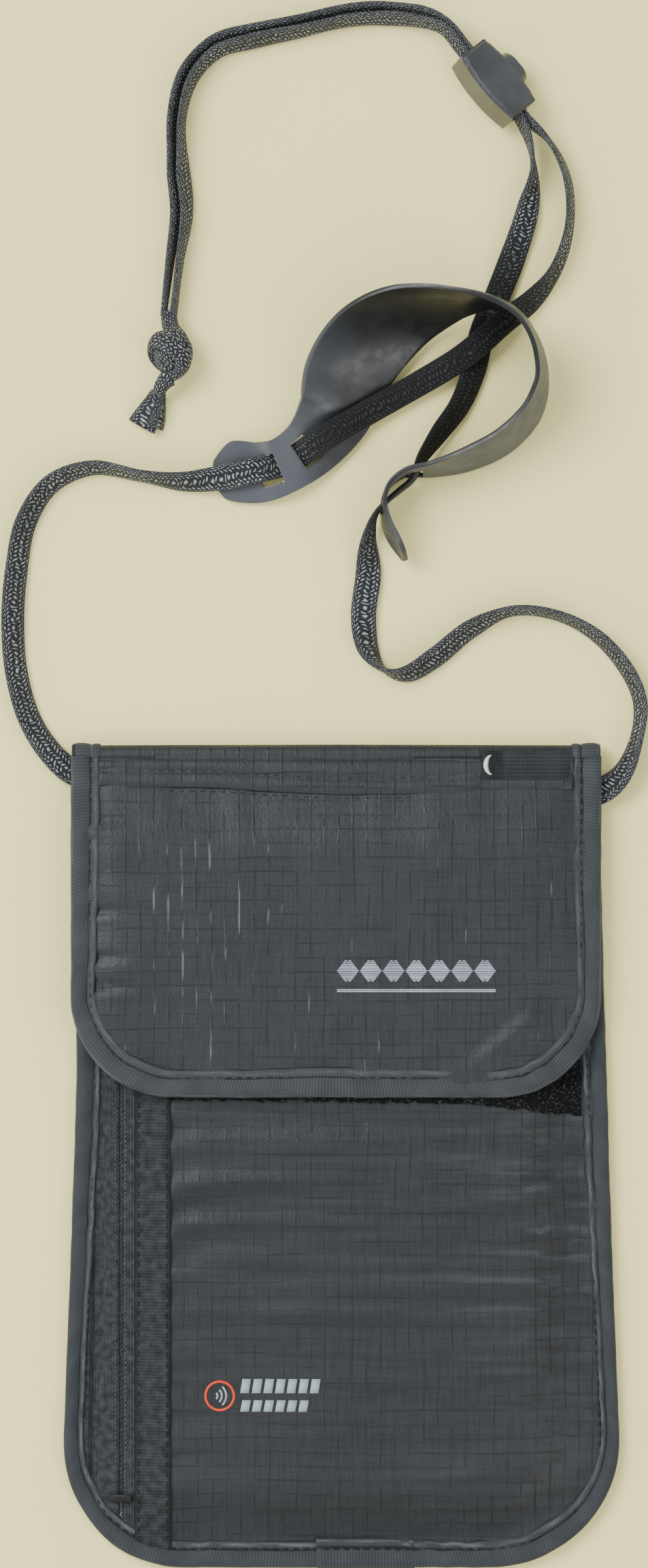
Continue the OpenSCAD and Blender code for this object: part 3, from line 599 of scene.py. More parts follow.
@dataclass(frozen=True)
class RipstopNylon(Finish):
    """Coated nylon with heavier threads every few millimetres: a low sheen and a fine square grid."""

    pitch: float = 3.6
    line: float = 0.34
    slub: str = "#33383D"
    # Strength of the painted glint on the upright grid lines.
    glint: float = 0.32
    # Strength of the painted sheen streaks and of the painted shade between them.
    painted_sheen_streaks: float = 0.0

    def build(self) -> bpy.types.Material:
        """Makes the material.

        Returns:
            The material, with its nodes linked.
        """
        material, tree, shader = self.start()
        at = place(tree)
        wander = add(tree, "TexNoise", {"Vector": at, "Scale": 0.03, "Detail": 2.0})
        axes = add(tree, "SeparateXYZ", {0: at})
        # The weave is not drawn quite straight by the seams, so its lines wander a little.
        slip = add(tree, "Math", (wander, 2.4), operation="MULTIPLY")
        x = add(tree, "Math", (axes.outputs[0], slip), operation="ADD")
        y = add(tree, "Math", (axes.outputs[1], slip), operation="ADD")
        across, down = line_grid(tree, x, self.pitch, self.line), line_grid(tree, y, self.pitch, self.line)
        # Painted glint: upright grid lines are lightened in scattered dashes, most in a band left of the
        # middle and not above the hem.
        long = add(tree, "Mapping", {0: at, 3: (0.5, 0.085, 0.3)}, vector_type="POINT").outputs[0]
        wide = add(tree, "Mapping", {0: at, 3: (0.05, 0.55, 0.3)}, vector_type="POINT").outputs[0]
        from_glint_band = add(tree, "Math", (axes.outputs[0], 33.0), operation="ADD")
        glint_band_away = add(tree, "Math", (from_glint_band,), operation="ABSOLUTE")
        painted_glint_thinning = add(tree, "MapRange", (glint_band_away, 6.0, 30.0, 0.0, 0.13), **EASED)
        long_grain = add(tree, "TexNoise", {"Vector": long, "Scale": 1.0, "Detail": 3.0})
        painted_glint_noise = add(tree, "Math", (long_grain, painted_glint_thinning), operation="SUBTRACT")
        painted_glint_places = add(tree, "MapRange", (painted_glint_noise, 0.50, 0.64, 0.0, 1.0), **EASED)
        broken_up = patches(tree, long, 1.6, 3.0, 0.40, 0.58, 0.12, 1.0)
        broken_across = patches(tree, wide, 1.4, 3.0, 0.42, 0.62, 0.10, 0.8)
        upright_lines = add(tree, "Math", (across, broken_up), operation="MULTIPLY")
        level_lines = add(tree, "Math", (down, broken_across), operation="MULTIPLY")
        lines = add(tree, "Math", (upright_lines, level_lines), operation="MAXIMUM")
        cloud = patches(tree, at, 0.045, 4.0, 0.3, 0.7)
        # Single threads are a little darker or lighter than their neighbours for a way.
        fine = add(tree, "Mapping", {0: at, 3: (1.5, 0.11, 0.3)}, vector_type="POINT").outputs[0]
        flat = add(tree, "Mapping", {0: at, 3: (0.09, 1.2, 0.3)}, vector_type="POINT").outputs[0]
        slub = patches(tree, fine, 1.0, 2.0, 0.32, 0.68, 0.0, 0.55)
        level_slub = patches(tree, flat, 1.0, 2.0, 0.32, 0.68, 0.0, 0.35)
        slub = add(tree, "Math", (slub, level_slub), operation="ADD")
        base = add(tree, "Mix", {0: cloud, 6: linear(self.colour), 7: linear(self.second)}, **COLOURS)
        slub_share = add(tree, "Math", (slub, 0.75), operation="MULTIPLY")
        base = add(tree, "Mix", {0: slub_share, 6: base, 7: linear(self.slub)}, **COLOURS)
        line_share = add(tree, "Math", (lines, 0.68), operation="MULTIPLY")
        dark = add(tree, "Mix", {0: line_share, 6: base, 7: linear("#0C0D0F")}, **COLOURS)
        below_hem = add(tree, "MapRange", (axes.outputs[1], 78.0, 86.0, self.glint, 0.0), **EASED)
        painted_glint_lines = add(tree, "Math", (across, painted_glint_places), operation="MULTIPLY")
        glint = add(tree, "Math", (painted_glint_lines, below_hem), operation="MULTIPLY")
        lively = add(tree, "Mix", {0: glint, 6: dark, 7: linear("#8D9397")}, **COLOURS)
        if self.painted_sheen_streaks:
            # Painted sheen and shade: long level bands are lightened as crease sheen, most at the right and
            # high up, and the cloth between them is darkened.
            level = add(tree, "Mapping", {0: at, 3: (0.02, 0.3, 0.3)}, vector_type="POINT").outputs[0]
            bands = add(tree, "TexNoise", {"Vector": level, "Scale": 1.0, "Detail": 5.0})
            painted_sheen_bands = add(tree, "MapRange", (bands, 0.5, 0.74, 0.0, self.painted_sheen_streaks), **EASED)
            more_at_right = add(tree, "MapRange", (axes.outputs[0], 0.0, 50.0, 0.35, 1.0), **EASED)
            painted_sheen = add(tree, "Math", (painted_sheen_bands, more_at_right), operation="MULTIPLY")
            more_high_up = add(tree, "MapRange", (axes.outputs[1], -60.0, -20.0, 0.25, 1.0), **EASED)
            painted_sheen = add(tree, "Math", (painted_sheen, more_high_up), operation="MULTIPLY")
            lively = add(tree, "Mix", {0: painted_sheen, 6: lively, 7: linear("#5A6065")}, **COLOURS)
            painted_band_shade = add(tree, "MapRange", (bands, 0.33, 0.5, self.painted_sheen_streaks * 1.5, 0.0), **EASED)
            lively = add(tree, "Mix", {0: painted_band_shade, 6: lively, 7: linear("#141618")}, **COLOURS)
        join(tree, lively, shader.inputs["Base Color"])
        fine_weave = add(tree, "TexNoise", {"Vector": at, "Scale": 1.3, "Detail": 2.0})
        coarse_weave = add(tree, "TexNoise", {"Vector": at, "Scale": 0.22, "Detail": 3.0})
        weaves = add(tree, "Math", (fine_weave, coarse_weave), operation="ADD")
        weave = add(tree, "Math", (weaves, 0.5), operation="MULTIPLY")
        line_rise = add(tree, "Math", (lines, 0.35), operation="MULTIPLY")
        height = add(tree, "Math", (weave, line_rise), operation="ADD")
        raised = add(tree, "Bump", {"Height": height, "Strength": 0.6, "Distance": 0.35 * MM})
        join(tree, raised, shader.inputs["Normal"])
        shine = add(tree, "MapRange", (cloud, 0, 1, self.roughness - 0.05, self.roughness + 0.06), **EASED)
        join(tree, shine, shader.inputs["Roughness"])
        return material


@dataclass(frozen=True)
class WovenTape(Finish):
    """Woven polyester tape: matte, with fine ribs along or across it."""

    rib: float = 0.9
    depth: float = 0.16
    turned: bool = False
    uv: bool = True
    cloud: float = 0.12
    # Strength of the painted highlight on ridges and edges.
    worn: float = 0.3
    ribbed: float = 0.35
    painted_shade_at: tuple[tuple[float, float], ...] = ()
    painted_highlight_at: tuple[tuple[float, float], ...] = ()

    def build(self) -> bpy.types.Material:
        """Makes the material.

        Returns:
            The material, with its nodes linked.
        """
        material, tree, shader = self.start()
        at = place(tree, self.uv)
        axes = add(tree, "SeparateXYZ", {0: at})
        main = axes.outputs[0 if self.turned else 1]
        other = axes.outputs[1 if self.turned else 0]
        rib_phase = add(tree, "Math", (main, 2 * math.pi / self.rib), operation="MULTIPLY")
        ribs = add(tree, "Math", (rib_phase,), operation="SINE")
        thread_phase = add(tree, "Math", (other, 2 * math.pi / 0.7), operation="MULTIPLY")
        threads = add(tree, "Math", (thread_phase,), operation="SINE")
        rib_rise = add(tree, "Math", (ribs, 0.5), operation="MULTIPLY")
        thread_rise = add(tree, "Math", (threads, 0.2), operation="MULTIPLY")
        weave = add(tree, "Math", (rib_rise, thread_rise), operation="ADD")
        cloud = add(tree, "TexNoise", {"Vector": at, "Scale": self.cloud, "Detail": 3.0})
        rib_share = add(tree, "Math", (weave, self.ribbed), operation="MULTIPLY")
        share = add(tree, "Math", (rib_share, cloud), operation="ADD")
        tone = add(tree, "MapRange", (share, 0.2, 0.85, 0.0, 1.0), **EASED)
        colour = add(tree, "Mix", {0: tone, 6: linear(self.colour), 7: linear(self.second)}, **COLOURS)
        stretched = add(tree, "Mapping", {0: at, 3: (0.6, 0.12, 1.0)})
        wear = add(tree, "TexNoise", {"Vector": stretched.outputs[0], "Scale": 1.0, "Detail": 3.0})
        # Painted shade darkens the grooves and cracks, and a painted highlight lightens ridges and edges,
        # both broken up by a stretched noise.
        for places, shade, low, high in (
            (self.painted_shade_at, "#090A0B", 0.5, 0.95), (self.painted_highlight_at, "#7A8084", 0.0, self.worn)
        ):
            for u, half in places:
                offset = add(tree, "Math", (axes.outputs[0], u), operation="SUBTRACT")
                away = add(tree, "Math", (offset,), operation="ABSOLUTE")
                line = add(tree, "MapRange", (away, half * 0.35, half, 1.0, 0.0), **EASED)
                painted_light_share = add(tree, "MapRange", (wear, 0.35, 0.65, low, high), **EASED)
                amount = add(tree, "Math", (line, painted_light_share), operation="MULTIPLY")
                colour = add(tree, "Mix", {0: amount, 6: colour, 7: linear(shade)}, **COLOURS)
        join(tree, colour, shader.inputs["Base Color"])
        fuzz = add(tree, "TexNoise", {"Vector": at, "Scale": 0.9, "Detail": 2.0})
        height = add(tree, "Math", (weave, fuzz), operation="ADD")
        raised = add(tree, "Bump", {"Height": height, "Strength": 0.6, "Distance": self.depth * MM})
        join(tree, raised, shader.inputs["Normal"])
        return material


@dataclass(frozen=True)
class FlatBraid(Finish):
    """Tubular braid pressed flat: dark strands crossing at a slant, with a paler fleck on each crossing."""

    around: float = 15.6
    strands: int = 18
    rise: float = 1.1

    def build(self) -> bpy.types.Material:
        """Makes the material.

        Returns:
            The material, with its nodes linked.
        """
        material, tree, shader = self.start()
        at = place(tree, True)
        axes = add(tree, "SeparateXYZ", {0: at})
        drift = add(tree, "TexNoise", {"Vector": at, "Scale": 0.5, "Detail": 2.0})
        swing = add(tree, "Math", (drift, 0.5), operation="SUBTRACT")
        stray = add(tree, "Math", (swing, 1.6), operation="MULTIPLY")
        placed = add(tree, "Math", (axes.outputs[0], stray), operation="ADD")
        column = add(tree, "Math", (placed, self.strands / self.around), operation="MULTIPLY")
        across = add(tree, "Math", (column,), operation="FRACT")
        # Neighbouring strands slant opposite ways, as in a plait, and step half a pick past each other.
        strand = add(tree, "Math", (column,), operation="FLOOR")
        odd = add(tree, "Math", (strand, 2.0), operation="FLOORED_MODULO")
        double_odd = add(tree, "Math", (odd, 2.0), operation="MULTIPLY")
        way = add(tree, "Math", (1.0, double_odd), operation="SUBTRACT")
        off_middle = add(tree, "Math", (across, 0.5), operation="SUBTRACT")
        slant = add(tree, "Math", (off_middle, way), operation="MULTIPLY")
        lean = add(tree, "Math", (slant, 0.8), operation="MULTIPLY")
        travel = add(tree, "Math", (axes.outputs[1], stray), operation="ADD")
        picks = add(tree, "Math", (travel, self.rise), operation="DIVIDE")
        pick = add(tree, "Math", (picks, lean), operation="ADD")
        pick = add(tree, "Math", (pick, add(tree, "Math", (odd, 0.5), operation="MULTIPLY")), operation="ADD")
        pick_phase = add(tree, "Math", (pick, 2 * math.pi), operation="MULTIPLY")
        ridge = add(tree, "Math", (pick_phase,), operation="SINE")
        strand_phase = add(tree, "Math", (across, math.pi), operation="MULTIPLY")
        crown = add(tree, "Math", (strand_phase,), operation="SINE")
        half_ridge = add(tree, "Math", (ridge, 0.5), operation="MULTIPLY")
        ridge_share = add(tree, "Math", (half_ridge, 0.5), operation="ADD")
        cross = add(tree, "Math", (ridge_share, crown), operation="MULTIPLY")
        fuzz = add(tree, "TexNoise", {"Vector": at, "Scale": 0.9, "Detail": 3.0})
        fuzzy = add(tree, "Math", (cross, fuzz), operation="ADD")
        fleck = add(tree, "MapRange", (fuzzy, 0.93, 1.32, 0.0, 1.0), **EASED)
        worn = patches(tree, at, 0.07, 3.0, 0.3, 0.7, 0.5, 1.0)
        flecks = add(tree, "Math", (fleck, worn), operation="MULTIPLY")
        flecked = add(tree, "Mix", {0: flecks, 6: linear(self.colour), 7: linear(self.second)}, **COLOURS)
        # Painted shade: the gaps between the strands are darkened towards black.
        half_fuzz = add(tree, "Math", (fuzz, 0.5), operation="MULTIPLY")
        filled = add(tree, "Math", (cross, half_fuzz), operation="ADD")
        gap = add(tree, "MapRange", (filled, 0.2, 0.5, 0.6, 0.0), **EASED)
        painted_gap_shade = add(tree, "Mix", {0: gap, 6: flecked, 7: linear("#08090A")}, **COLOURS)
        # Painted shade: the cord is darkened where it runs near the pad, in the pad's shade.
        here = add(tree, "VectorMath", {0: place(tree), 1: (24.0, 196.0, 0.0)}, operation="DISTANCE")
        painted_pad_shade = add(tree, "MapRange", (here.outputs["Value"], 30.0, 52.0, 0.9, 0.0), **EASED)
        colour = add(tree, "Mix", {0: painted_pad_shade, 6: painted_gap_shade, 7: linear("#0A0B0C")}, **COLOURS)
        join(tree, colour, shader.inputs["Base Color"])
        fuzz_rise = add(tree, "Math", (fuzz, 0.4), operation="MULTIPLY")
        height = add(tree, "Math", (cross, fuzz_rise), operation="ADD")
        raised = add(tree, "Bump", {"Height": height, "Strength": 0.8, "Distance": 0.3 * MM})
        join(tree, raised, shader.inputs["Normal"])
        return material


@dataclass(frozen=True)
class Moulded(Finish):
    """Moulded plastic or elastomer: even colour with a fine spark-eroded or brushed-on grain."""

    grain: float = 2.0
    depth: float = 0.03
    patch: float = 0.05

    def build(self) -> bpy.types.Material:
        """Makes the material.

        Returns:
            The material, with its nodes linked.
        """
        material, tree, shader = self.start()
        at = place(tree)
        cloud = patches(tree, at, self.patch, 4.0, 0.3, 0.7)
        colour = add(tree, "Mix", {0: cloud, 6: linear(self.colour), 7: linear(self.second)}, **COLOURS)
        join(tree, colour, shader.inputs["Base Color"])
        shine = patches(tree, at, 0.3, 3.0, 0.3, 0.7, self.roughness - 0.05, self.roughness + 0.07)
        join(tree, shine, shader.inputs["Roughness"])
        grain = add(tree, "TexNoise", {"Vector": at, "Scale": self.grain, "Detail": 3.0})
        raised = add(tree, "Bump", {"Height": grain, "Strength": 0.5, "Distance": self.depth * MM})
        join(tree, raised, shader.inputs["Normal"])
        return material


@dataclass(frozen=True)
class ElastomerWithPaintedLight(Moulded):
    """Satin dark elastomer with pale painted light towards its anchored end and at its free end."""

    painted_light: str = "#464B50"
    painted_light_to: tuple[float, float] = (-14.0, 3.0)

    def build(self) -> bpy.types.Material:
        """Makes the material.

        Returns:
            The material, with its nodes linked.
        """
        material = super().build()
        tree = material.node_tree
        shader = next(n for n in tree.nodes if n.type == "BSDF_PRINCIPLED")
        base_colour = shader.inputs["Base Color"].links[0].from_socket
        # Painted light: the base colour is lightened towards the pad's left end and at its free end.
        at = place(tree)
        axes = add(tree, "SeparateXYZ", {0: at})
        leaned = add(tree, "Math", (axes.outputs[1], -0.12), operation="MULTIPLY")
        slant = add(tree, "Math", (axes.outputs[0], leaned), operation="ADD")
        drift = add(tree, "TexNoise", {"Vector": at, "Scale": 0.09, "Detail": 3.0})
        patchy = add(tree, "Math", (drift, 7.0), operation="MULTIPLY")
        far = add(tree, "Math", (add(tree, "Math", (slant, patchy), operation="ADD"), 17.5), operation="ADD")
        painted_end_share = add(tree, "MapRange", (far, self.painted_light_to[0], self.painted_light_to[1], 1.0, 0.0), **EASED)
        painted_tip_light = add(tree, "MapRange", (axes.outputs[1], 160.0, 168.0, 0.6, 0.0), **EASED)
        share = add(tree, "Math", (painted_end_share, painted_tip_light), operation="MAXIMUM")
        colour = add(tree, "Mix", {0: share, 6: base_colour, 7: linear(self.painted_light)}, **COLOURS)
        join(tree, colour, shader.inputs["Base Color"])
        return material


@dataclass(frozen=True)
class Pile(Finish):
    """Hook-and-loop pile: a deep matte black with painted grey glints where loops would catch the light."""

    def build(self) -> bpy.types.Material:
        """Makes the material.

        Returns:
            The material, with its nodes linked.
        """
        material, tree, shader = self.start()
        at = place(tree)
        painted_glint_specks = patches(tree, at, 1.5, 4.0, 0.52, 0.72)
        colour = add(tree, "Mix", {0: painted_glint_specks, 6: linear(self.colour), 7: linear(self.second)}, **COLOURS)
        join(tree, colour, shader.inputs["Base Color"])
        grain = add(tree, "TexNoise", {"Vector": at, "Scale": 1.1, "Detail": 4.0})
        raised = add(tree, "Bump", {"Height": grain, "Strength": 0.9, "Distance": 0.9 * MM})
        join(tree, raised, shader.inputs["Normal"])
        return material


# Coated nylon: a dull blue-black flap whose square grid carries a painted glint, most in a band left of the
# middle.
RIPSTOP = RipstopNylon("ripstop_nylon_coated", "#212629", "#1B1F22", 0.48, 0.34, 0.03, slub="#2B3034")
# The same nylon on the front: a warmer black with painted sheen in long pale level streaks, painted shade
# between them, and no glint.
FRONT_RIPSTOP = RipstopNylon(
    "ripstop_nylon_front", "#222528", "#1A1C1F", 0.5, 0.33, 0.03, slub="#2B2F32", glint=0.0, painted_sheen_streaks=0.3
)
# Plain nylon: a soft, even dark grey with no grid to see from arm's length.
LINING = RipstopNylon(
    "plain_nylon_lining", "#2E3134", "#292C2F", 0.62, 0.3, 0.03, pitch=0.9, line=0.2, glint=0.0
)
# Silver-coated cloth: a pale, blurred shine down in the openings.
FOIL = Moulded(
    "silver_coated_shield_cloth", "#B9BDC0", "#A8ACB0", 0.38, 0.5, metallic=0.6, grain=1.2, depth=0.15
)
# Cut foil edge: the one bright white line on the dark flap, which also serves as a painted highlight on the
# opening's curved lip.
SILVER_EDGE_HIGHLIGHT = Moulded("silver_foil_edge", "#E4E6E8", "#C9CCCF", 0.35, 0.6, grain=1.2, depth=0.1)
# Woven binding: matte ribs with painted shade in its inner crack and seam groove, and a painted highlight on
# its ridge.
BINDING = WovenTape(
    "woven_polyester_binding", "#272C30", "#373C40", 0.75, 0.28, 0.06, rib=0.8, depth=0.12,
    painted_shade_at=((0.6, 1.1), (5.3, 0.9)), painted_highlight_at=((2.9, 0.9),),
)
# The flap's binding: a shade paler than the pouch's, with painted highlights on its ridge and outer edge.
FLAP_BINDING = WovenTape(
    "woven_polyester_flap_binding", "#2A2F33", "#3A3F43", 0.74, 0.28, 0.06, rib=0.8, depth=0.12,
    painted_shade_at=((0.6, 1.2), (5.3, 0.7)), painted_highlight_at=((2.9, 0.8), (11.6, 1.1)), worn=0.16,
)
# Grosgrain: the blackest tape, mottled, with fine ribs across it and painted shade along both edges.
GROSGRAIN = WovenTape(
    "grosgrain_facing", "#121517", "#32373A", 0.78, 0.28, 0.05, rib=0.8, depth=0.18, cloud=0.45, ribbed=0.14,
    painted_shade_at=((-51.2, 0.8), (-42.2, 0.9)),
)
# Ribbed lining: black with painted shade just inside the opening, seen only in the hem's open end.
TUNNEL = WovenTape(
    "ribbed_tunnel_lining", "#181A1C", "#2A2D30", 0.7, 0.3, rib=1.0, depth=0.25, painted_shade_at=((40.6, 2.6),),
)
# Zip tape: mottled charcoal with ribs along it and painted shade by the coil and the binding.
ZIP_TAPE = WovenTape(
    "woven_zip_tape", "#151719", "#3A3E42", 0.78, 0.28, 0.04, rib=0.75, depth=0.22, turned=True, cloud=0.5,
    ribbed=0.2, painted_shade_at=((-54.9, 0.9), (-63.6, 1.0)),
)
# Coil knuckles: small grey beads that draw a dotted line down each tape.
KNUCKLE = Moulded("nylon_coil_knuckle", "#363A3E", "#40454A", 0.5, 0.35)
# Nylon coil: near black, so that the zip reads as a dark slit.
COIL = Moulded("nylon_monofilament", "#0C0D0E", "#131415", 0.5, 0.3)
# Painted die casting: black with a hard small highlight on its edges.
ZIP_METAL = Moulded("painted_zinc_die_cast", "#1F2123", "#27292C", 0.35, 0.5, coat=0.2)
# Polyester braid: black with a pale fleck on every crossing, painted shade in its gaps and painted shade near
# the pad.
CORD = FlatBraid("flat_polyester_braid", "#272B2E", "#A0A6A9", 0.75, 0.28, 0.06)
# The pad's skin side: satin black that takes one long soft highlight, with pale painted light towards both
# ends.
PAD_INNER = ElastomerWithPaintedLight("satin_elastomer_skin_side", "#1E2023", "#17191B", 0.34, 0.42, grain=0.6, depth=0.05)
# The pad's outer side: a flat mid grey, clearly paler than the skin side.
PAD_OUTER = Moulded("matte_elastomer_outer_side", "#4D5257", "#43484D", 0.5, 0.35, grain=0.6, depth=0.05)
# Moulded acetal: smooth slate grey with a waxy shine on its rounded rims.
LOCK_ACETAL = Moulded("moulded_acetal", "#363B40", "#282C30", 0.3, 0.6, coat=0.3, patch=0.1)
# Sewing thread: black stitches that show as dimples more than as lines.
THREAD = Moulded("polyester_sewing_thread", "#131517", "#1F2123", 0.7, 0.25)
# Hem thread: dark grey, so that the double row shows on the black hem.
HEM_THREAD = Moulded("polyester_hem_thread", "#23272A", "#2C3033", 0.7, 0.25)
# Embroidery rayon: silky lilac grey that shines across its stitches.
PALE_THREAD = WovenTape("embroidery_rayon", "#9698A8", "#C4C6D6", 0.5, 0.5, 0.1, rib=0.5, depth=0.3, uv=False)
# Pile: the deepest black on the pouch, with a few painted grey glints.
PILE = Pile("hook_and_loop_pile", "#070808", "#3A3D40", 0.9, 0.2)
# Transfer film: the only strong colour, an even warm orange.
ORANGE_FILM = Moulded("orange_transfer_film", "#D2441C", "#C43D18", 0.5, 0.4)
# Transfer film: an even pale grey-green beside the orange.
PALE_FILM = Moulded("pale_transfer_film", "#98ABAC", "#8D9FA0", 0.5, 0.4)
# Spring wire: bright bare metal, hidden in the lock.
SPRING = Moulded("spring_steel_wire", "#C0C2C4", "#B0B2B4", 0.3, 0.5, metallic=1.0)
# Backdrop card: a flat pale straw colour that takes soft shadows.
PAPER = Moulded("matte_backdrop_card", "#FDF4AB", "#FCF3AA", 0.95, 0.1, depth=0.0)


class Finishes:
    """All of the pouch's materials, each made once."""

    def __init__(self) -> None:
        """Makes the materials."""
        self.made: dict[str, bpy.types.Material] = {}

    def __call__(self, finish: Finish) -> bpy.types.Material:
        """Gives the material of a finish, made when first asked for.

        Args:
            finish: The finish.

        Returns:
            Its material.
        """
        if finish.name not in self.made:
            self.made[finish.name] = finish.build()
        return self.made[finish.name]


# --- Rows of repeated things ---


@dataclass
class RowMaker:
    """A Geometry Nodes tree that sets slim copies along a path: stitches, coil turns and the like."""

    name: str = "row_of_stitches"
    seed: int = 4
    tree: bpy.types.GeometryNodeTree = field(init=False)
    sockets: dict[str, str] = field(init=False)

    def __post_init__(self) -> None:
        """Builds the tree."""
        tree = bpy.data.node_groups.new(self.name, "GeometryNodeTree")
        face = tree.interface
        face.new_socket("Geometry", in_out="OUTPUT", socket_type="NodeSocketGeometry")
        face.new_socket("Path", in_out="INPUT", socket_type="NodeSocketGeometry")
        sizes = ("Pitch", "Length", "Width", "Height", "Jitter", "Slant")
        named = {n: face.new_socket(n, in_out="INPUT", socket_type="NodeSocketFloat") for n in sizes}
        named["Material"] = face.new_socket("Material", in_out="INPUT", socket_type="NodeSocketMaterial")
        self.sockets = {n: s.identifier for n, s in named.items()}
        ins = add(tree, "NodeGroupInput").outputs
        curve = add(tree, "GeometryNodeMeshToCurve", {0: ins["Path"]})
        points = add(
            tree, "GeometryNodeCurveToPoints", {"Curve": curve.outputs[0], "Length": ins["Pitch"]},
            mode="LENGTH",
        )
        ball = add(tree, "GeometryNodeMeshIcoSphere", {"Radius": 0.5, "Subdivisions": 1})
        size = add(tree, "CombineXYZ", {0: ins["Width"], 1: ins["Height"], 2: ins["Length"]})
        shaped = add(tree, "GeometryNodeTransform", {"Geometry": ball.outputs[0], "Scale": size.outputs[0]})
        turn = add(
            tree, "FunctionNodeRandomValue",
            {"Min": (-1.0, -1.0, -1.0), "Max": (1.0, 1.0, 1.0), "Seed": self.seed}, data_type="FLOAT_VECTOR",
        )
        wobble = add(tree, "VectorMath", {0: turn.outputs[0], "Scale": ins["Jitter"]}, operation="SCALE")
        lean = add(tree, "CombineXYZ", {0: 0.0, 1: ins["Slant"], 2: 0.0})
        total = add(tree, "VectorMath", {0: wobble.outputs[0], 1: lean.outputs[0]}, operation="ADD")
        copies = add(
            tree, "GeometryNodeInstanceOnPoints",
            {
                "Points": points.outputs["Points"], "Instance": shaped.outputs[0],
                "Rotation": points.outputs["Rotation"],
            },
        )
        turned = add(
            tree, "GeometryNodeRotateInstances",
            {"Instances": copies.outputs[0], "Rotation": total.outputs[0]},
        )
        real = add(tree, "GeometryNodeRealizeInstances", {0: turned.outputs[0]})
        shaded = add(tree, "GeometryNodeSetShadeSmooth", {0: real.outputs[0]})
        painted = add(
            tree, "GeometryNodeSetMaterial", {"Geometry": shaded.outputs[0], "Material": ins["Material"]}
        )
        add(tree, "NodeGroupOutput", {0: painted.outputs[0]})
        self.tree = tree

    def along(
        self, name: str, paths: Sequence[np.ndarray], material: bpy.types.Material, **sizes: float
    ) -> bpy.types.Object:
        """Sets copies along paths.

        Args:
            name: The piece's name.
            paths: Polylines in millimetres.
            material: The copies' material.
            **sizes: Pitch, length, width, height and jitter; the first four in millimetres.

        Returns:
            A plain mesh of all the copies.
        """
        verts = np.concatenate(paths)
        edges, start = [], 0
        for path in paths:
            edges += [(start + k, start + k + 1) for k in range(len(path) - 1)]
            start += len(path)
        mesh = bpy.data.meshes.new(name)
        mesh.from_pydata((verts * MM).tolist(), edges, [])
        obj = bpy.data.objects.new(name, mesh)
        bpy.context.scene.collection.objects.link(obj)
        row = obj.modifiers.new("row", "NODES")
        row.node_group = self.tree
        wanted = {
            "pitch": 2.6, "length": 1.9, "width": 0.45, "height": 0.35, "jitter": 0.05, "slant": 0.0
        } | sizes
        for key, value in wanted.items():
            row[self.sockets[key.capitalize()]] = value if key in ("jitter", "slant") else value * MM
        row[self.sockets["Material"]] = material
        return plain_mesh(obj)


# --- The pouch's shapes ---


@dataclass
class Outline:
    """A panel's edge: two slanting sides and a rounded bottom, open at the top."""

    half_top: float
    half_bottom: float
    y_top: float
    y_bottom: float
    radius: float

    def path(self, inset: float, step: float = 1.0, y_end: float | None = None) -> np.ndarray:
        """Runs down the left side, round the bottom and up the right side.

        Args:
            inset: Distance inside the edge, in millimetres.
            step: Distance between points, in millimetres.
            y_end: Where the two sides end, or None for the panel's top.

        Returns:
            Points in the XY plane.
        """
        top = self.y_top if y_end is None else y_end
        r = self.radius - inset
        lean = (self.half_bottom - self.half_top) / (self.y_top - self.y_bottom - self.radius)
        x_low = self.half_bottom - inset
        x_high = x_low - lean * (top - self.y_bottom - self.radius)
        y0 = self.y_bottom + inset
        turn = np.linspace(0, math.pi / 2, max(10, int(r * 1.57 / step)))
        corner = np.stack([x_low - r + r * np.cos(turn), y0 + r - r * np.sin(turn)], 1)
        rise = np.linspace(0, 1, max(2, int((top - y0 - r) / step)))[:-1]
        side = np.stack([x_high + (x_low - x_high) * rise, top + (y0 + r - top) * rise], 1)
        flat_n = max(2, int((x_low - r) / step))
        flat = np.stack([np.linspace(x_low - r, 0, flat_n + 1)[1:], np.full(flat_n, y0)], 1)
        right = np.vstack([side, corner, flat])
        left = right[:-1] * (-1, 1)
        return np.vstack([left, right[::-1]])

    def half_width(self, y: np.ndarray, inset: float) -> np.ndarray:
        """Gives half the panel's width.

        Args:
            y: Heights on the panel, in millimetres.
            inset: Distance inside the edge, in millimetres.

        Returns:
            The half width at each height.
        """
        lean = (self.half_bottom - self.half_top) / (self.y_top - self.y_bottom - self.radius)
        r = self.radius - inset
        centre = self.y_bottom + self.radius
        straight = self.half_bottom - inset - lean * np.maximum(y - centre, 0)
        drop = np.clip(centre - y, 0, r)
        return np.where(
            y < centre, self.half_bottom - inset - r + np.sqrt(np.maximum(r * r - drop * drop, 0)), straight
        )


BODY = Outline(66.8, 70.5, 105.0, -105.0, 32.0)
FLAP = Outline(67.5, 67.5, 105.0, 15.3, 26.0)
MOUTH_Y = 78.0
HINGE = (0.0, 102.4, 2.95)


def front_height(x: np.ndarray, y: np.ndarray) -> np.ndarray:
    """Height of the front panel's outer face, in millimetres.

    Args:
        x: Places along X.
        y: Places along Y.

    Returns:
        The height above the surface that the pouch lies on.
    """
    left = np.interp(x, (-61.5, -59.6, -54.9, -48.5, -42.0, -35.0), (2.5, 3.35, 4.3, 5.65, 7.25, 7.65))
    edge = BODY.half_width(y, 7.0)
    right = 2.5 + 5.15 * smooth((edge - x + 0.5) / 17.0)
    top = np.minimum(left, right)
    bottom = smooth((y + 98.5) / 15.0)
    side = smooth((edge + x + 0.5) / 3.0)
    return 2.5 + (top - 2.5) * bottom * np.where(x < -40, np.maximum(side, 0.35), 1.0)


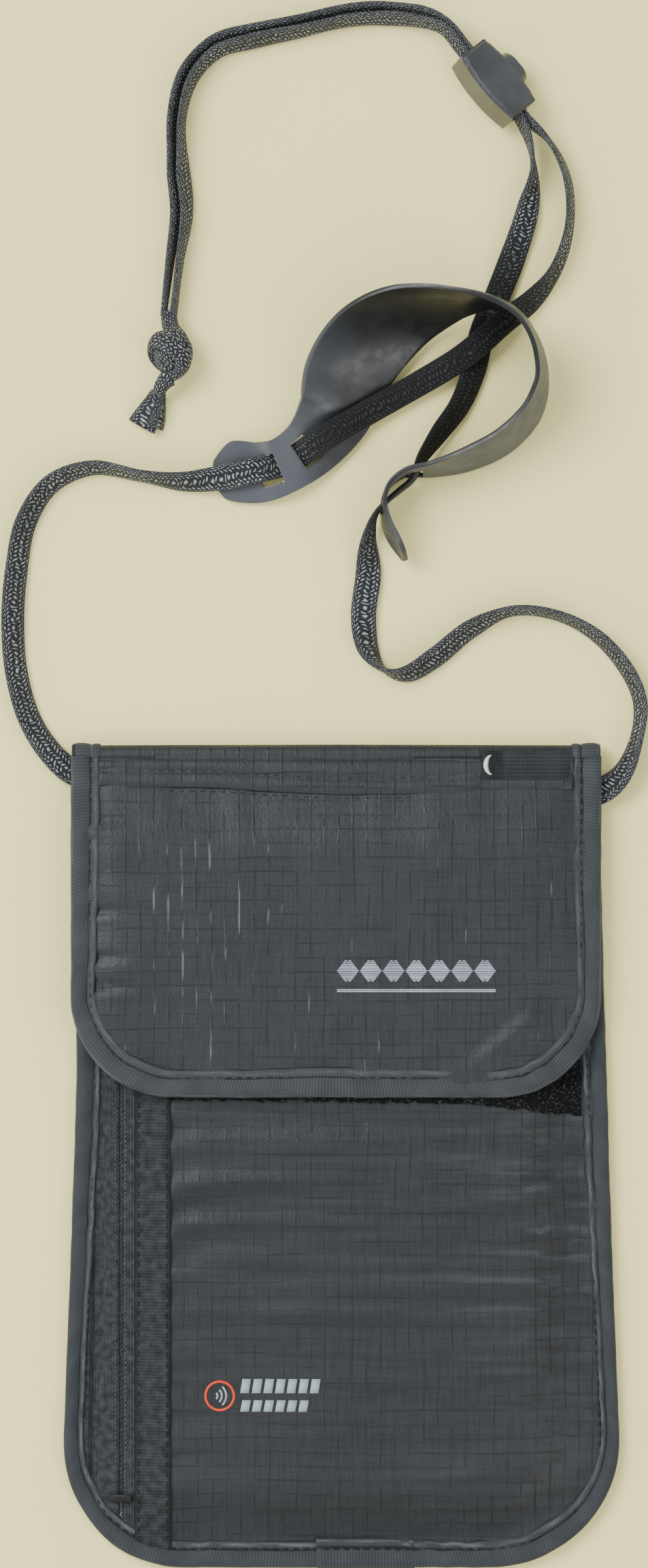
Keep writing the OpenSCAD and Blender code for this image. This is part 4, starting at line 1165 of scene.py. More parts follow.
# Level creases across the front: [y, from x, to x, slope, half width, height]
FRONT_FOLDS = (
    (10.4, -46.0, 14.0, -0.02, 2.0, -0.33), (5.4, -46.0, 30.0, -0.03, 1.5, 0.23),
    (-1.3, -46.0, 8.0, 0.0, 2.0, -0.25), (-6.3, -46.0, -6.0, 0.0, 1.8, 0.28),
    (-12.2, -46.0, 34.0, -0.04, 1.1, -0.23), (-16.8, -46.0, -20.0, -0.02, 1.4, 0.2),
    (7.4, 34.0, 72.0, 0.0, 0.9, 0.23), (-1.2, 44.0, 72.0, 0.0, 0.8, 0.23), (-7.3, 18.0, 72.0, 0.02, 1.1, 0.3),
    (-15.5, 2.0, 40.0, 0.09, 1.7, 0.22), (-21.3, 34.0, 72.0, 0.0, 1.0, 0.22),
    (-38.0, -46.0, 20.0, 0.02, 1.6, -0.22), (-30.0, -10.0, 50.0, 0.05, 2.4, 0.19),
    (-48.0, 30.0, 72.0, -0.03, 1.6, 0.19),
)


def front_wrinkles(x: np.ndarray, y: np.ndarray) -> np.ndarray:
    """Creases the front panel: pulls from the seams, and the soft bulge of the pocket.

    Args:
        x: Places along X, in millimetres.
        y: Places along Y, in millimetres.

    Returns:
        The rise of the cloth at each place, in millimetres.
    """
    edge = BODY.half_width(y, 7.0)
    from_left = np.exp(-np.maximum(x + 42, 0) / 16.0)
    from_right = np.exp(-np.maximum(edge - x, 0) / 13.0)
    from_bottom = np.exp(-np.maximum(y + 98, 0) / 9.0)
    pulls = np.sin((y + 2.5 * soft_noise(x, y, 26, 3)) * 2 * math.pi / 10.5)
    deep = smooth((y + 60) / 60) * 0.6 + 0.4
    high = 0.46 * pulls * from_left * deep + 0.30 * from_right * soft_noise(x * 0.25, y, 5.5, 8)
    high = high + 0.26 * from_bottom * soft_noise(x, y * 0.3, 5.0, 9)
    bands = 0.55 * np.exp(-(((y - 2 + 0.05 * x) / 5.0) ** 2)) * smooth((40 - np.abs(x)) / 30)
    bands = bands + 0.45 * np.exp(-(((y + 12 - 0.03 * x) / 6.0) ** 2)) * smooth((x + 5) / 30)
    for cy, x0, x1, slope, wide, tall in FRONT_FOLDS:
        reach = smooth((x - x0) / 7.0) * smooth((x1 - x) / 9.0)
        bands = bands + tall * reach * np.exp(-(((y - cy - slope * (x - x0)) / wide) ** 2))
    slow = 0.55 * soft_noise(x, y, 38, 5) + 0.16 * soft_noise(x * 0.6, y, 12, 6)
    inside = smooth((x + 43) / 6.0) * smooth((edge - x) / 4.0)
    return (slow * 0.8 + bands) * inside + high * smooth((x + 43.5) / 2.0)


def flap_height(x: np.ndarray, y: np.ndarray) -> np.ndarray:
    """Height of the flap's outer face, in millimetres.

    Args:
        x: Places along X.
        y: Places along Y.

    Returns:
        The height above the surface that the pouch lies on.
    """
    right = np.interp(x, (40.0, 49.5, 56.0, 61.5, 70.0), (10.2, 10.0, 7.7, 5.8, 5.3))
    over_zip = 1.15 * np.exp(-(((x + 54.5) / 8.5) ** 2)) * np.exp(-(((y - 47) / 12.0) ** 2))
    left = np.interp(x, (-70.0, -66.0, -61.0, -56.0, -44.0), (6.6, 7.6, 9.5, 10.1, 10.2)) + over_zip
    level = np.where(x < 0, left, right)
    fold = np.interp(
        y, (74.0, 80.0, 90.0, 98.0, 102.4, 103.3, 104.1, 104.7), (11.4, 10.0, 7.75, 6.25, 5.6, 5.4, 4.9, 4.1)
    )
    sharp = 4.0
    return -np.log(np.exp(-level * sharp) + np.exp(-fold * sharp)) / sharp


def flap_wrinkles(x: np.ndarray, y: np.ndarray) -> np.ndarray:
    """Creases the flap: seam puckers, folds into the right corner and faint upright drags.

    Args:
        x: Places along X, in millimetres.
        y: Places along Y, in millimetres.

    Returns:
        The rise of the cloth at each place, in millimetres.
    """
    edge = FLAP.half_width(y, 7.2)
    near_left = np.exp(-np.maximum(edge + x, 0) / 7.0)
    near_right = np.exp(-np.maximum(edge - x, 0) / 7.0)
    near_low = np.exp(-np.maximum(y - 22.5, 0) / 7.0)
    high = 0.55 * near_left * soft_noise(
        x * 0.25, y, 6.0, 21
    ) + 0.30 * near_right * soft_noise(x * 0.25, y, 8.0, 22)
    high = high + 0.26 * near_low * soft_noise(x, y * 0.3, 7.5, 23)
    a, b = (x - 44) * 0.77 + (y - 30) * 0.64, -(x - 44) * 0.64 + (y - 30) * 0.77
    fold = 0.75 * np.exp(-((b / 2.6) ** 2)) * np.exp(-((a / 11.0) ** 2))
    fold = fold - 0.4 * np.exp(-(((b - 4.6) / 2.4) ** 2)) * np.exp(-((a / 12.0) ** 2))
    drag = 0.10 * soft_noise(x, y * 0.12, 5.0, 24)
    under_hem = 0.32 * np.exp(-np.maximum(91 - y, 0) / 8.0) * soft_noise(x, y * 0.35, 8.5, 25)
    for cy, tall, reach in ((85.6, 0.6, 6.0), (62.8, 0.9, 4.0), (51.0, 0.85, 5.0), (43.5, 1.0, 6.5)):
        # Each pucker pulls the cloth down at the tape and throws a soft lobe beside it.
        high = high - tall * np.exp(-(((y - cy) / 1.1) ** 2)) * np.exp(-np.maximum(x + edge, 0) / reach)
        high = high + 0.34 * tall * np.exp(-(((y - cy + 2.7) / 1.7) ** 2)) * np.exp(
            -np.maximum(x + edge, 0) / (2 * reach)
        )
    slow = 0.30 * soft_noise(x, y, 30, 26) + 0.12 * soft_noise(x, y, 11, 27)
    inside = smooth((edge - np.abs(x)) / 4.0)
    return (slow + drag + fold + under_hem) * inside + high


def drape(
    path: np.ndarray, height: Callable[[np.ndarray, np.ndarray], np.ndarray], lift: float
) -> np.ndarray:
    """Lays a plan path on a surface.

    Args:
        path: Points in the XY plane.
        height: The surface's height at places.
        lift: How far above it the path runs.

    Returns:
        Points in space.
    """
    return np.column_stack([path, height(path[:, 0], path[:, 1]) + lift])


def bound_edge(
    name: str,
    outline: Outline,
    y_end: float,
    width: float,
    top: Callable[[np.ndarray, np.ndarray], np.ndarray],
    bottom: Callable[[np.ndarray, np.ndarray], np.ndarray],
    material: bpy.types.Material,
    seam: float,
    seed: int,
    crown: float = 0.75,
) -> bpy.types.Object:
    """Folds a tape over a panel's edge.

    Args:
        name: The piece's name.
        outline: The panel's edge.
        y_end: Where the tape ends at both sides.
        width: The tape's visible width.
        top: Height of the cloth that the tape lies on.
        bottom: Height of the cloth's underside.
        material: The tape's material.
        seam: Distance of the sewn groove from the tape's outer edge.
        seed: Seed of the puckers.
        crown: How far the tape's padded roll stands above the cloth.

    Returns:
        The folded tape as one closed roll.
    """
    depths = np.array(
        [width + 0.3, width, width - 0.5, seam + 0.55, seam, seam - 0.6, seam - 1.6, 2.1, 1.0, 0.35, 0.0]
    )
    lifts = np.array([-0.25, 0.22, 0.42, 0.36, 0.10, 0.40, 0.80, 1.0, 0.86, 0.50, 0.0]) * crown / 0.75
    edge = outline.path(0.0, 1.0, y_end)
    inner = outline.path(width, 1.0, y_end)
    share = along(edge) / along(edge)[-1]
    inner_share = along(inner) / along(inner)[-1]
    inner = np.column_stack([np.interp(share, inner_share, inner[:, k]) for k in (0, 1)])
    inward = inner - edge
    inward /= np.linalg.norm(inward, axis=1)[:, None]
    s = along(edge)
    pucker = soft_noise(s, s * 0, 3.4, seed)
    slow = soft_noise(s, s * 0, 17.0, seed + 1)
    rings = []
    for k, d in enumerate(depths):
        wavy = d + (0.22 * pucker + 0.18 * slow) * (1 if d > seam - 1 else 0.35)
        xy = edge + inward * wavy[:, None]
        cloth = top(edge[:, 0] + inward[:, 0] * width * 0.75, edge[:, 1] + inward[:, 1] * width * 0.75)
        at_inner = top(xy[:, 0], xy[:, 1])
        base = cloth + (at_inner - cloth) * smooth((d - seam + 1.5) / 3.0)
        low = bottom(xy[:, 0], xy[:, 1])
        z = base + lifts[k] + (0.10 * pucker + 0.08 * slow) * (0 if d < 0.2 else 1)
        if d < 1e-6:
            z = low + (base + lifts[k - 1] - low) * 0.55
        rings.append(np.column_stack([xy, z]))
    low_edge = bottom(edge[:, 0], edge[:, 1])
    for d, lift in ((0.3, 0.35), (1.2, 0.05), (width, 0.0)):
        xy = edge + inward * d
        rings.append(np.column_stack([xy, np.maximum(bottom(xy[:, 0], xy[:, 1]), low_edge * 0) + lift]))
    stack = np.stack(rings, axis=1)
    return swept(name, stack, material, 18.0)


@dataclass
class Pouch:
    """The sewn pouch without its flap: panels, linings, bindings and closure."""

    finishes: Finishes
    rows: RowMaker
    binding: float = 7.0
    thickness: float = 0.7

    def build(self) -> None:
        """Makes the pouch's pieces."""
        self.back()
        self.front()
        self.inner_wall()
        self.mouth()
        self.edge()
        self.closure()
        self.badge()

    def panel_grid(
        self, x0: np.ndarray, x1: np.ndarray, y: np.ndarray, columns: int
    ) -> tuple[np.ndarray, np.ndarray]:
        """Spreads columns evenly between two edges on each row.

        Args:
            x0: Left edge on each row.
            x1: Right edge on each row.
            y: The rows' places.
            columns: How many columns.

        Returns:
            Grids of x and y.
        """
        share = np.linspace(0, 1, columns)[None, :]
        gx = x0[:, None] + (x1 - x0)[:, None] * share
        return gx, np.repeat(y[:, None], columns, axis=1)

    def back(self) -> None:
        """Makes the back panel."""
        y = np.concatenate([np.linspace(-104.2, -73, 40), np.linspace(-72, 102.4, 120)])
        half = BODY.half_width(y, 0.8)
        gx, gy = self.panel_grid(-half, half, y, 100)
        # The wall bows a little away from the surface between its sewn edges.
        gz = 1.25 + 0.10 * soft_noise(gx, gy, 24, 41)
        obj = grid_sheet(
            "back_cloth", np.stack([gx, gy, gz], -1), np.stack([gx, gy], -1), 0.85, self.finishes(RIPSTOP)
        )
        fit(obj, Body.POUCH, "shell_fabric", "back_panel")

    def front(self) -> None:
        """Makes the front panel with its creases."""
        y = np.concatenate([np.linspace(-102.0, -73, 36), np.linspace(-72.2, MOUTH_Y, 190)])
        right = BODY.half_width(y, 3.0)
        left = -np.minimum(BODY.half_width(y, 3.0), 44.5)
        gx, gy = self.panel_grid(left, right, y, 128)
        gz = front_height(gx, gy) + front_wrinkles(gx, gy)
        obj = grid_sheet(
            "front_cloth", np.stack([gx, gy, gz], -1), np.stack([gx, gy], -1), 0.6,
            self.finishes(FRONT_RIPSTOP),
        )
        fit(obj, Body.POUCH, "shell_fabric", "front_panel")

    def inner_wall(self) -> None:
        """Makes the silver-coated pocket walls."""
        y = np.concatenate([np.linspace(-101.0, -73, 24), np.linspace(-72, MOUTH_Y - 0.4, 90)])
        half = BODY.half_width(y, 4.0)
        gx, gy = self.panel_grid(-half, half, y, 80)
        rise = smooth(
            (BODY.half_width(gy, 8.0) - gx) / 15.0
        ) * smooth((gx + 54.5) / 14.0) * smooth((gy + 97) / 14.0)
        gz = 1.75 + 4.75 * rise
        wall = grid_sheet(
            "pocket_wall", np.stack([gx, gy, gz], -1), np.stack([gx, gy], -1), 0.35, self.finishes(FOIL)
        )
        fit(wall, Body.POUCH, "foil_lining", "pocket_divider")
        y2 = np.linspace(-96, 76, 80)
        half2 = BODY.half_width(y2, 10.5)
        gx, gy = self.panel_grid(-half2 + 3, half2, y2, 60)
        gz = 1.52 + 0.05 * soft_noise(gx, gy, 15, 43)
        liner = grid_sheet(
            "shield_lining", np.stack([gx, gy, gz], -1), np.stack([gx, gy], -1), 0.2, self.finishes(FOIL)
        )
        fit(liner, Body.POUCH, "foil_lining", "shield_liner")

    def mouth(self) -> None:
        """Folds a tape over the pocket's mouth."""
        x = np.linspace(-46, 52, 90)
        z = front_height(x, np.full_like(x, MOUTH_Y))
        section = (
            (-4.2, 0.02), (-4.0, 0.34), (-1.5, 0.5), (0.35, 0.35), (0.7, -0.4), (0.3, -1.3), (-1.5, -1.45),
            (-3.8, -1.35), (-4.0, -1.05),
        )
        rings = np.stack(
            [
                np.column_stack(
                    [x, np.full_like(x, MOUTH_Y + dy), z + dz + 0.06 * soft_noise(x, x * 0, 4, 51)]
                )
                for dy, dz in section
            ],
            axis=1,
        )
        tape = swept("mouth_tape", rings, self.finishes(BINDING), 12.0)
        fit(tape, Body.POUCH, "binding_tape", "mouth_binding")
        path = np.column_stack([x, np.full_like(x, MOUTH_Y - 3.1), z + 0.55])
        fit(
            self.rows.along("mouth_stitches", [path], self.finishes(THREAD)), Body.POUCH, "binding_tape"
        )

    def edge(self) -> None:
        """Binds the perimeter, with its overlapped join and its stitching."""
        def top(x: np.ndarray, y: np.ndarray) -> np.ndarray:
            """Height of the tape's upper face."""
            return np.minimum(front_height(x, y), 2.75)

        def bottom(x: np.ndarray, y: np.ndarray) -> np.ndarray:
            """Height of the tape's lower face."""
            return np.full_like(x, 0.02)

        tape = bound_edge("edge_tape", BODY, 89.0, self.binding, top, bottom, self.finishes(BINDING), 4.9, 61)
        fit(tape, Body.POUCH, "binding_tape", "edge_binding")
        # The tape's two ends overlap at the bottom: the right end lies over the left, a little askew.
        x = np.linspace(-4.9, 20.0, 30)
        section = (
            (7.6, 0.0), (7.4, 0.55), (6.6, 0.95), (5.2, 0.66), (4.2, 1.0), (2.2, 1.45), (0.8, 1.2),
            (-0.15, 0.4), (0.2, -0.4), (3.0, -0.2),
        )
        taper = smooth((20.0 - x) / 9.0)
        rings = np.stack(
            [
                np.column_stack(
                    [
                        x - 0.02 * d, -105.0 + d * (0.96 + 0.05 * taper),
                        2.5 + (dz * 0.82) * (0.55 + 0.45 * taper),
                    ]
                )
                for d, dz in section
            ],
            axis=1,
        )
        join = swept("tape_join", rings, self.finishes(BINDING), 18.0)
        fit(join, Body.POUCH, "binding_tape", "binding_overlap")
        lock_line = drape(BODY.path(4.9, 1.0, 88.0), top, 0.22)
        spare = np.abs(lock_line[:, 0] - 7.5) < 12.4
        lock_line[spare & (lock_line[:, 1] < -95), 2] += 0.55
        fit(self.rows.along("edge_stitches", [lock_line], self.finishes(THREAD)), Body.POUCH, "binding_tape")

    def closure(self) -> None:
        """Lays the loop tape under the flap's lower edge."""
        y = np.linspace(0, 1, 30)
        x0, x1 = np.full_like(y, -42.0), np.full_like(y, 62.0)
        gx, gy = self.panel_grid(x0, x1, y, 170)
        # The tape was sewn on a little askew, so it shows more at the right.
        low = np.interp(gx, (-42.0, 0.0, 24.0, 42.0, 62.0), (14.7, 14.3, 13.9, 12.9, 10.2))
        gy = low + (37.3 - low) * gy
        fray = 0.35 * soft_noise(gx, gy, 1.3, 71) + 0.2 * soft_noise(gx, gy, 0.8, 72)
        gz = front_height(gx, gy) + front_wrinkles(gx, gy) * 0.7 + 0.75 + fray
        gy = gy + 0.45 * soft_noise(gx, gy * 0, 1.1, 73) * (gy < low + 0.6)
        obj = grid_sheet(
            "loop_pile", np.stack([gx, gy, np.minimum(gz, 8.6)], -1), np.stack([gx, gy], -1), 0.7,
            self.finishes(PILE),
        )
        fit(obj, Body.POUCH, "closure_tape", "loop_tape")

    def badge(self) -> None:
        """Prints a plain badge: a ring with three arcs and two bars."""
        verts, faces = [], []

        def patch(outer: np.ndarray, inner: np.ndarray | None) -> None:
            """Lays a face of film on the cloth.

            Args:
                outer: The face's edge.
                inner: The edge of its hole, or None.
            """
            start, n = len(verts), len(outer)
            for loop in (outer, inner) if inner is not None else (outer,):
                z = front_height(loop[:, 0], loop[:, 1]) + front_wrinkles(loop[:, 0], loop[:, 1])
                verts.extend(np.column_stack([loop, z + 0.08]).tolist())
            if inner is None:
                faces.append(list(range(start, start + n)))
            else:
                faces.extend(
                    [
                        [start + k, start + (k + 1) % n, start + n + (k + 1) % n, start + n + k]
                        for k in range(n)
                    ]
                )

        def circle(r: float, squareness: float = 4.5) -> np.ndarray:
            """Draws a closed curve between a circle and a square.

            Args:
                r: Half its width, in millimetres.
                squareness: 2 for a circle, more for a squarer curve.

            Returns:
                Its points round the badge's centre.
            """
            a = np.linspace(0, 2 * math.pi, 49)[:-1]
            c, s = np.cos(a), np.sin(a)
            grow = (np.abs(c) ** squareness + np.abs(s) ** squareness) ** (-1 / squareness)
            return np.column_stack([-29.6 + r * c * grow, -60.6 + r * s * grow])

        patch(circle(3.95, 2.0), circle(3.3, 2.0))
        ring = self.film("badge_ring", verts, faces, ORANGE_FILM)
        verts, faces = [], []
        for k in range(3):
            a = np.linspace(-0.8, 0.8, 14)
            outer, inner = 1.3 + 1.1 * k, 0.8 + 1.1 * k
            loop = np.concatenate(
                [
                    np.column_stack([np.cos(a), np.sin(a)]) * outer,
                    np.column_stack([np.cos(a), np.sin(a)])[::-1] * inner,
                ]
            )
            patch(loop + (-31.2, -60.6), None)
        for x, y, w, h in ((-24.4, -59.9, 20.9, 3.6), (-24.4, -64.6, 17.9, 2.9)):
            for k in range(int(w // 2.95)):
                x0 = x + k * 2.95
                patch(np.array([(x0, y), (x0 + 2.2, y), (x0 + 2.75, y + h), (x0 + 0.55, y + h)]), None)
        marks = self.film("badge_marks", verts, faces, PALE_FILM)
        for obj in (ring, marks):
            fit(obj, Body.POUCH, "printed_film")
        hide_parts("printed_mark")

    def film(self, name: str, verts: list, faces: list, finish: Finish) -> bpy.types.Object:
        """Gives printed shapes a hair's thickness.

        Args:
            name: The piece's name.
            verts: Corners in millimetres.
            faces: Faces of the shapes.
            finish: The film's finish.

        Returns:
            The closed film.
        """
        obj = make_object(name, np.array(verts), faces, None, self.finishes(finish))
        wall = obj.modifiers.new("wall", "SOLIDIFY")
        wall.thickness, wall.offset = 0.1 * MM, 1.0
        return plain_mesh(obj)


@dataclass
class Zip:
    """The side pocket's coil zip with its facing strip."""

    finishes: Finishes
    rows: RowMaker
    centre: float = -54.9
    gap: float = 0.9

    def build(self) -> None:
        """Makes the zip's pieces."""
        self.tapes()
        self.coil()
        self.facing()
        self.metal()

    def strip(
        self, name: str, x0: float, x1: float, lift: float, thickness: float, finish: Finish, y1: float,
        y0: float = -100.0,
    ) -> bpy.types.Object:
        """Lays a long strip on the pouch's left slope.

        Args:
            name: The piece's name.
            x0: Left edge at the top.
            x1: Right edge.
            lift: Height above the front panel's surface.
            thickness: The strip's thickness.
            finish: The strip's finish.
            y1: The strip's upper end.
            y0: The strip's lower end.

        Returns:
            The strip.
        """
        y = np.linspace(y0, y1, round(y1 - y0) + 6)
        limit = -BODY.half_width(y, 4.0)
        left = np.maximum(np.full_like(y, x0), limit)
        right = np.maximum(np.full_like(y, x1), limit + 0.3)
        share = np.linspace(0, 1, 14)[None, :]
        gx = left[:, None] + (right - left)[:, None] * share
        gy = np.repeat(y[:, None], 14, axis=1)
        gz = front_height(gx, gy) + lift + 0.08 * soft_noise(gx, gy, 7, 31)
        return grid_sheet(
            name, np.stack([gx, gy, gz], -1), np.stack([gx, gy], -1), thickness, self.finishes(finish)
        )

    def tapes(self) -> None:
        """Makes the two woven tapes."""
        half = self.gap / 2 - 0.12
        left = self.strip("zip_cloth_left", -66.5, self.centre - half, -0.05, 0.4, ZIP_TAPE, 64.0)
        right = self.strip("zip_cloth_right", self.centre + half, -50.9, -0.05, 0.4, ZIP_TAPE, 64.0)
        fit(left, Body.POUCH, "zip_tape", "zip_tape_left")
        fit(right, Body.POUCH, "zip_tape", "zip_tape_right")
        # A turned scrap of the same tape closes the pocket above the stops.
        fit(
            self.strip("zip_end_cover", -66.5, -49.0, 0.35, 0.4, ZIP_TAPE, MOUTH_Y - 0.2, 59.5), Body.POUCH,
            "zip_tape",
        )

    def coil(self) -> None:
        """Sets the coil's turns along both tapes."""
        y = np.linspace(-93.0, 58.0, 250)
        paths = []
        for side in (-1, 1):
            x = np.full_like(y, self.centre + side * 0.68)
            # Each turn sits between two of the other side's.
            paths.append(np.column_stack([x, y + 0.3 * side, front_height(x, y) - 0.75]))
        for name, path, node in zip(("coil_left", "coil_right"), paths, ("zip_coil_left", "zip_coil_right")):
            turns = self.rows.along(
                name, [path], self.finishes(COIL), pitch=1.2, length=0.62, width=1.5, height=1.0, jitter=0.02
            )
            fit(turns, Body.POUCH, "zip_coil", node)
        ridges = []
        for side in (-1, 1):
            x = np.full_like(y, self.centre + side * 1.35)
            ridges.append(np.column_stack([x, y, front_height(x, y) + 0.06]))
        knuckles = self.rows.along(
            "tape_knuckles", ridges, self.finishes(KNUCKLE), pitch=1.2, length=0.8, width=0.62, height=0.4,
            jitter=0.05,
        )
        fit(knuckles, Body.POUCH, "zip_tape")

    def facing(self) -> None:
        """Makes the ribbed strip that covers the front panel's cut edge."""
        strip = self.strip("facing_strip", -51.3, -42.0, 0.42, 0.4, GROSGRAIN, MOUTH_Y - 0.6)
        fit(strip, Body.POUCH, "grosgrain", "zip_facing")
        y = np.linspace(-97.5, 71.0, 200)
        paths = []
        for x0 in (-50.3, -43.1):
            x = np.full_like(y, x0)
            paths.append(np.column_stack([x, y, front_height(x, y) + 0.5]))
        fit(
            self.rows.along("facing_stitches", paths, self.finishes(THREAD), pitch=2.5, length=1.8),
            Body.POUCH, "grosgrain",
        )

    def metal(self) -> None:
        """Rounds off the slider, its pull and the stops."""
        paint = self.finishes(ZIP_METAL)
        for node, name, body, width in (
            ("zip_slider", "slider_plates", Body.SLIDER, 0.16),
            ("zip_slider_bridge", "slider_arch", Body.SLIDER, 0.2),
            ("zip_pull", "pull_tab", Body.PULL, 0.18),
            ("zip_top_stops", "top_stops", Body.POUCH, 0.2),
            ("zip_bottom_stop", "bottom_stop", Body.POUCH, 0.25),
        ):
            finish = self.finishes(COIL) if node == "zip_bottom_stop" else paint
            fit(bevelled_copy(node, name, width, finish), body, "zip_metal", node)


@dataclass
class Flap:
    """The flap with its fold, hem, binding, hook tape and stitched emblem."""

    finishes: Finishes
    rows: RowMaker
    binding: float = 7.4

    def build(self) -> None:
        """Makes the flap's pieces."""
        self.cloth()
        self.fold()
        self.edge()
        self.hem()
        self.hooks()
        self.emblem()

    def surface(self, x: np.ndarray, y: np.ndarray) -> np.ndarray:
        """Height of the flap's outer face with its creases."""
        return flap_height(x, y) + flap_wrinkles(x, y)

    def cloth(self) -> None:
        """Makes the outer cloth and the lining under it."""
        y = np.concatenate([np.linspace(17.0, 41, 34), np.linspace(41.8, 101.9, 76)])
        half = FLAP.half_width(y, 1.5)
        share = np.linspace(0, 1, 150)[None, :]
        gx = -half[:, None] + 2 * half[:, None] * share
        gy = np.repeat(y[:, None], 150, axis=1)
        gz = self.surface(gx, gy)
        uv = np.stack([gx, gy], -1)
        outer = grid_sheet("flap_cloth", np.stack([gx, gy, gz], -1), uv, 0.45, self.finishes(RIPSTOP))
        fit(outer, Body.FLAP, "shell_fabric", "flap_panel")
        gz2 = flap_height(gx, gy) - 0.62 + 0.15 * flap_wrinkles(gx, gy)
        lining = grid_sheet(
            "flap_lining_cloth", np.stack([gx, gy, gz2], -1)[::2, ::2], uv[::2, ::2], 0.35,
            self.finishes(LINING),
        )
        fit(lining, Body.FLAP, "flap_lining_fabric", "flap_lining")

    def fold(self) -> None:
        """Turns the cloth from the back panel over into the flap."""
        turn = np.linspace(-math.pi / 2, math.pi / 2, 22)
        x = np.linspace(-66.6, 66.6, 140)
        bow = 0.35 * np.cos(x / 66 * math.pi / 2) + 0.15 * soft_noise(x, x * 0, 20, 81)
        lead = np.array([[100.6, 0.95], [101.6, 0.92]])
        tail = np.array([[101.9, 5.62], [101.2, 5.72], [100.4, 5.86]])
        arc = np.column_stack([HINGE[1] + 2.45 * np.cos(turn), HINGE[2] + 0.25 + 2.42 * np.sin(turn)])
        profile = np.vstack([lead, arc, tail])
        gy = profile[:, 0][:, None] + bow[None, :] * (profile[:, 0] > 103)[:, None] * 0.5
        gz = profile[:, 1][:, None] + 0.07 * soft_noise(x, x * 0, 9, 82)[None, :]
        side = np.abs(x)[None, :]
        top_row = np.arange(len(profile))[:, None] > 14
        gz = np.where(
            top_row & (side > 52),
            np.minimum(
                gz, 0.12 + self.surface(np.repeat(x[None, :], len(profile), 0), np.minimum(gy, 102.0))
            ),
            gz,
        )
        gx = np.repeat(x[None, :], len(profile), axis=0)
        uv = np.stack([gx, np.repeat(along(profile)[:, None], len(x), axis=1)], -1)
        points = np.stack([gx, gy, gz], -1)[::-1]
        obj = grid_sheet("fold_cloth", points, uv[::-1], 0.5, self.finishes(RIPSTOP))
        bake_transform(obj)
        LOG.info("%s: %d faces between the pouch and the flap", obj.name, len(obj.data.polygons))
        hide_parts("top_fold")

    def edge(self) -> None:
        """Binds the flap's sides and bottom, and stitches the tape down."""
        tape = bound_edge(
            "flap_tape", FLAP, 102.0, self.binding, flap_height,
            lambda x, y: flap_height(x, y) - 1.35, self.finishes(FLAP_BINDING), 5.1, 91, 0.62,
        )
        fit(tape, Body.FLAP, "binding_tape", "flap_binding")
        self.turned_tapes()
        line = drape(FLAP.path(5.1, 1.0, 101.0), flap_height, 0.16)
        fit(self.rows.along("flap_edge_stitches", [line], self.finishes(THREAD)), Body.FLAP, "binding_tape")

    def turned_tapes(self) -> None:
        """Carries the binding round the fold at both sides, on to the back."""
        turn = np.linspace(math.radians(-97), math.radians(90), 20)
        arc = np.column_stack([HINGE[1] + 2.45 * np.cos(turn), HINGE[2] + 0.2 + 2.42 * np.sin(turn)])
        out = np.column_stack([np.cos(turn), np.sin(turn)])
        arc = np.vstack([[101.2, 0.72], arc, [101.7, 5.66]])
        out = np.vstack([[0.0, -1.0], out, [0.0, 1.0]])
        section = (
            (7.6, -0.2), (7.35, 0.26), (6.6, 0.45), (5.65, 0.34), (5.1, 0.12), (4.5, 0.38),
            (3.5, 0.55), (2.1, 0.62), (0.8, 0.42), (0.1, 0.1), (0.1, -0.35), (2.4, -0.42), (6.6, -0.42),
        )
        for name, side in (("turned_tape_left", -1), ("turned_tape_right", 1)):
            rings = []
            for d, lift in section:
                edge = FLAP.half_top - d + 0.1 * soft_noise(
                    np.arange(len(arc)) * 1.0, np.zeros(len(arc)), 4, 97 + side
                )
                low = np.interp(np.arange(len(arc)), (0, 4), (0.25, 1.0))
                rise = lift * (low if lift > 0 else 1.0)
                rings.append(np.column_stack([side * edge, arc + out * np.asarray(rise).reshape(-1, 1)]))
            stack = np.stack(rings, axis=1)
            piece = swept(name, stack if side > 0 else stack[:, ::-1], self.finishes(FLAP_BINDING), 18.0)
            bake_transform(piece)
            LOG.info("%s: %d faces between the pouch and the flap", piece.name, len(piece.data.polygons))

    def hem(self) -> None:
        """Makes the hem's two raised folds, with the cord tunnel open at the right."""
        x = np.linspace(-60.4, 60.4, 180)
        profile = (
            (-0.0, -0.3), (0.35, 0.2), (1.2, 0.42), (2.7, 0.48), (3.3, 0.18), (3.7, 0.12), (4.1, 0.3),
            (5.4, 0.5), (7.4, 0.45), (8.1, -0.25),
        )
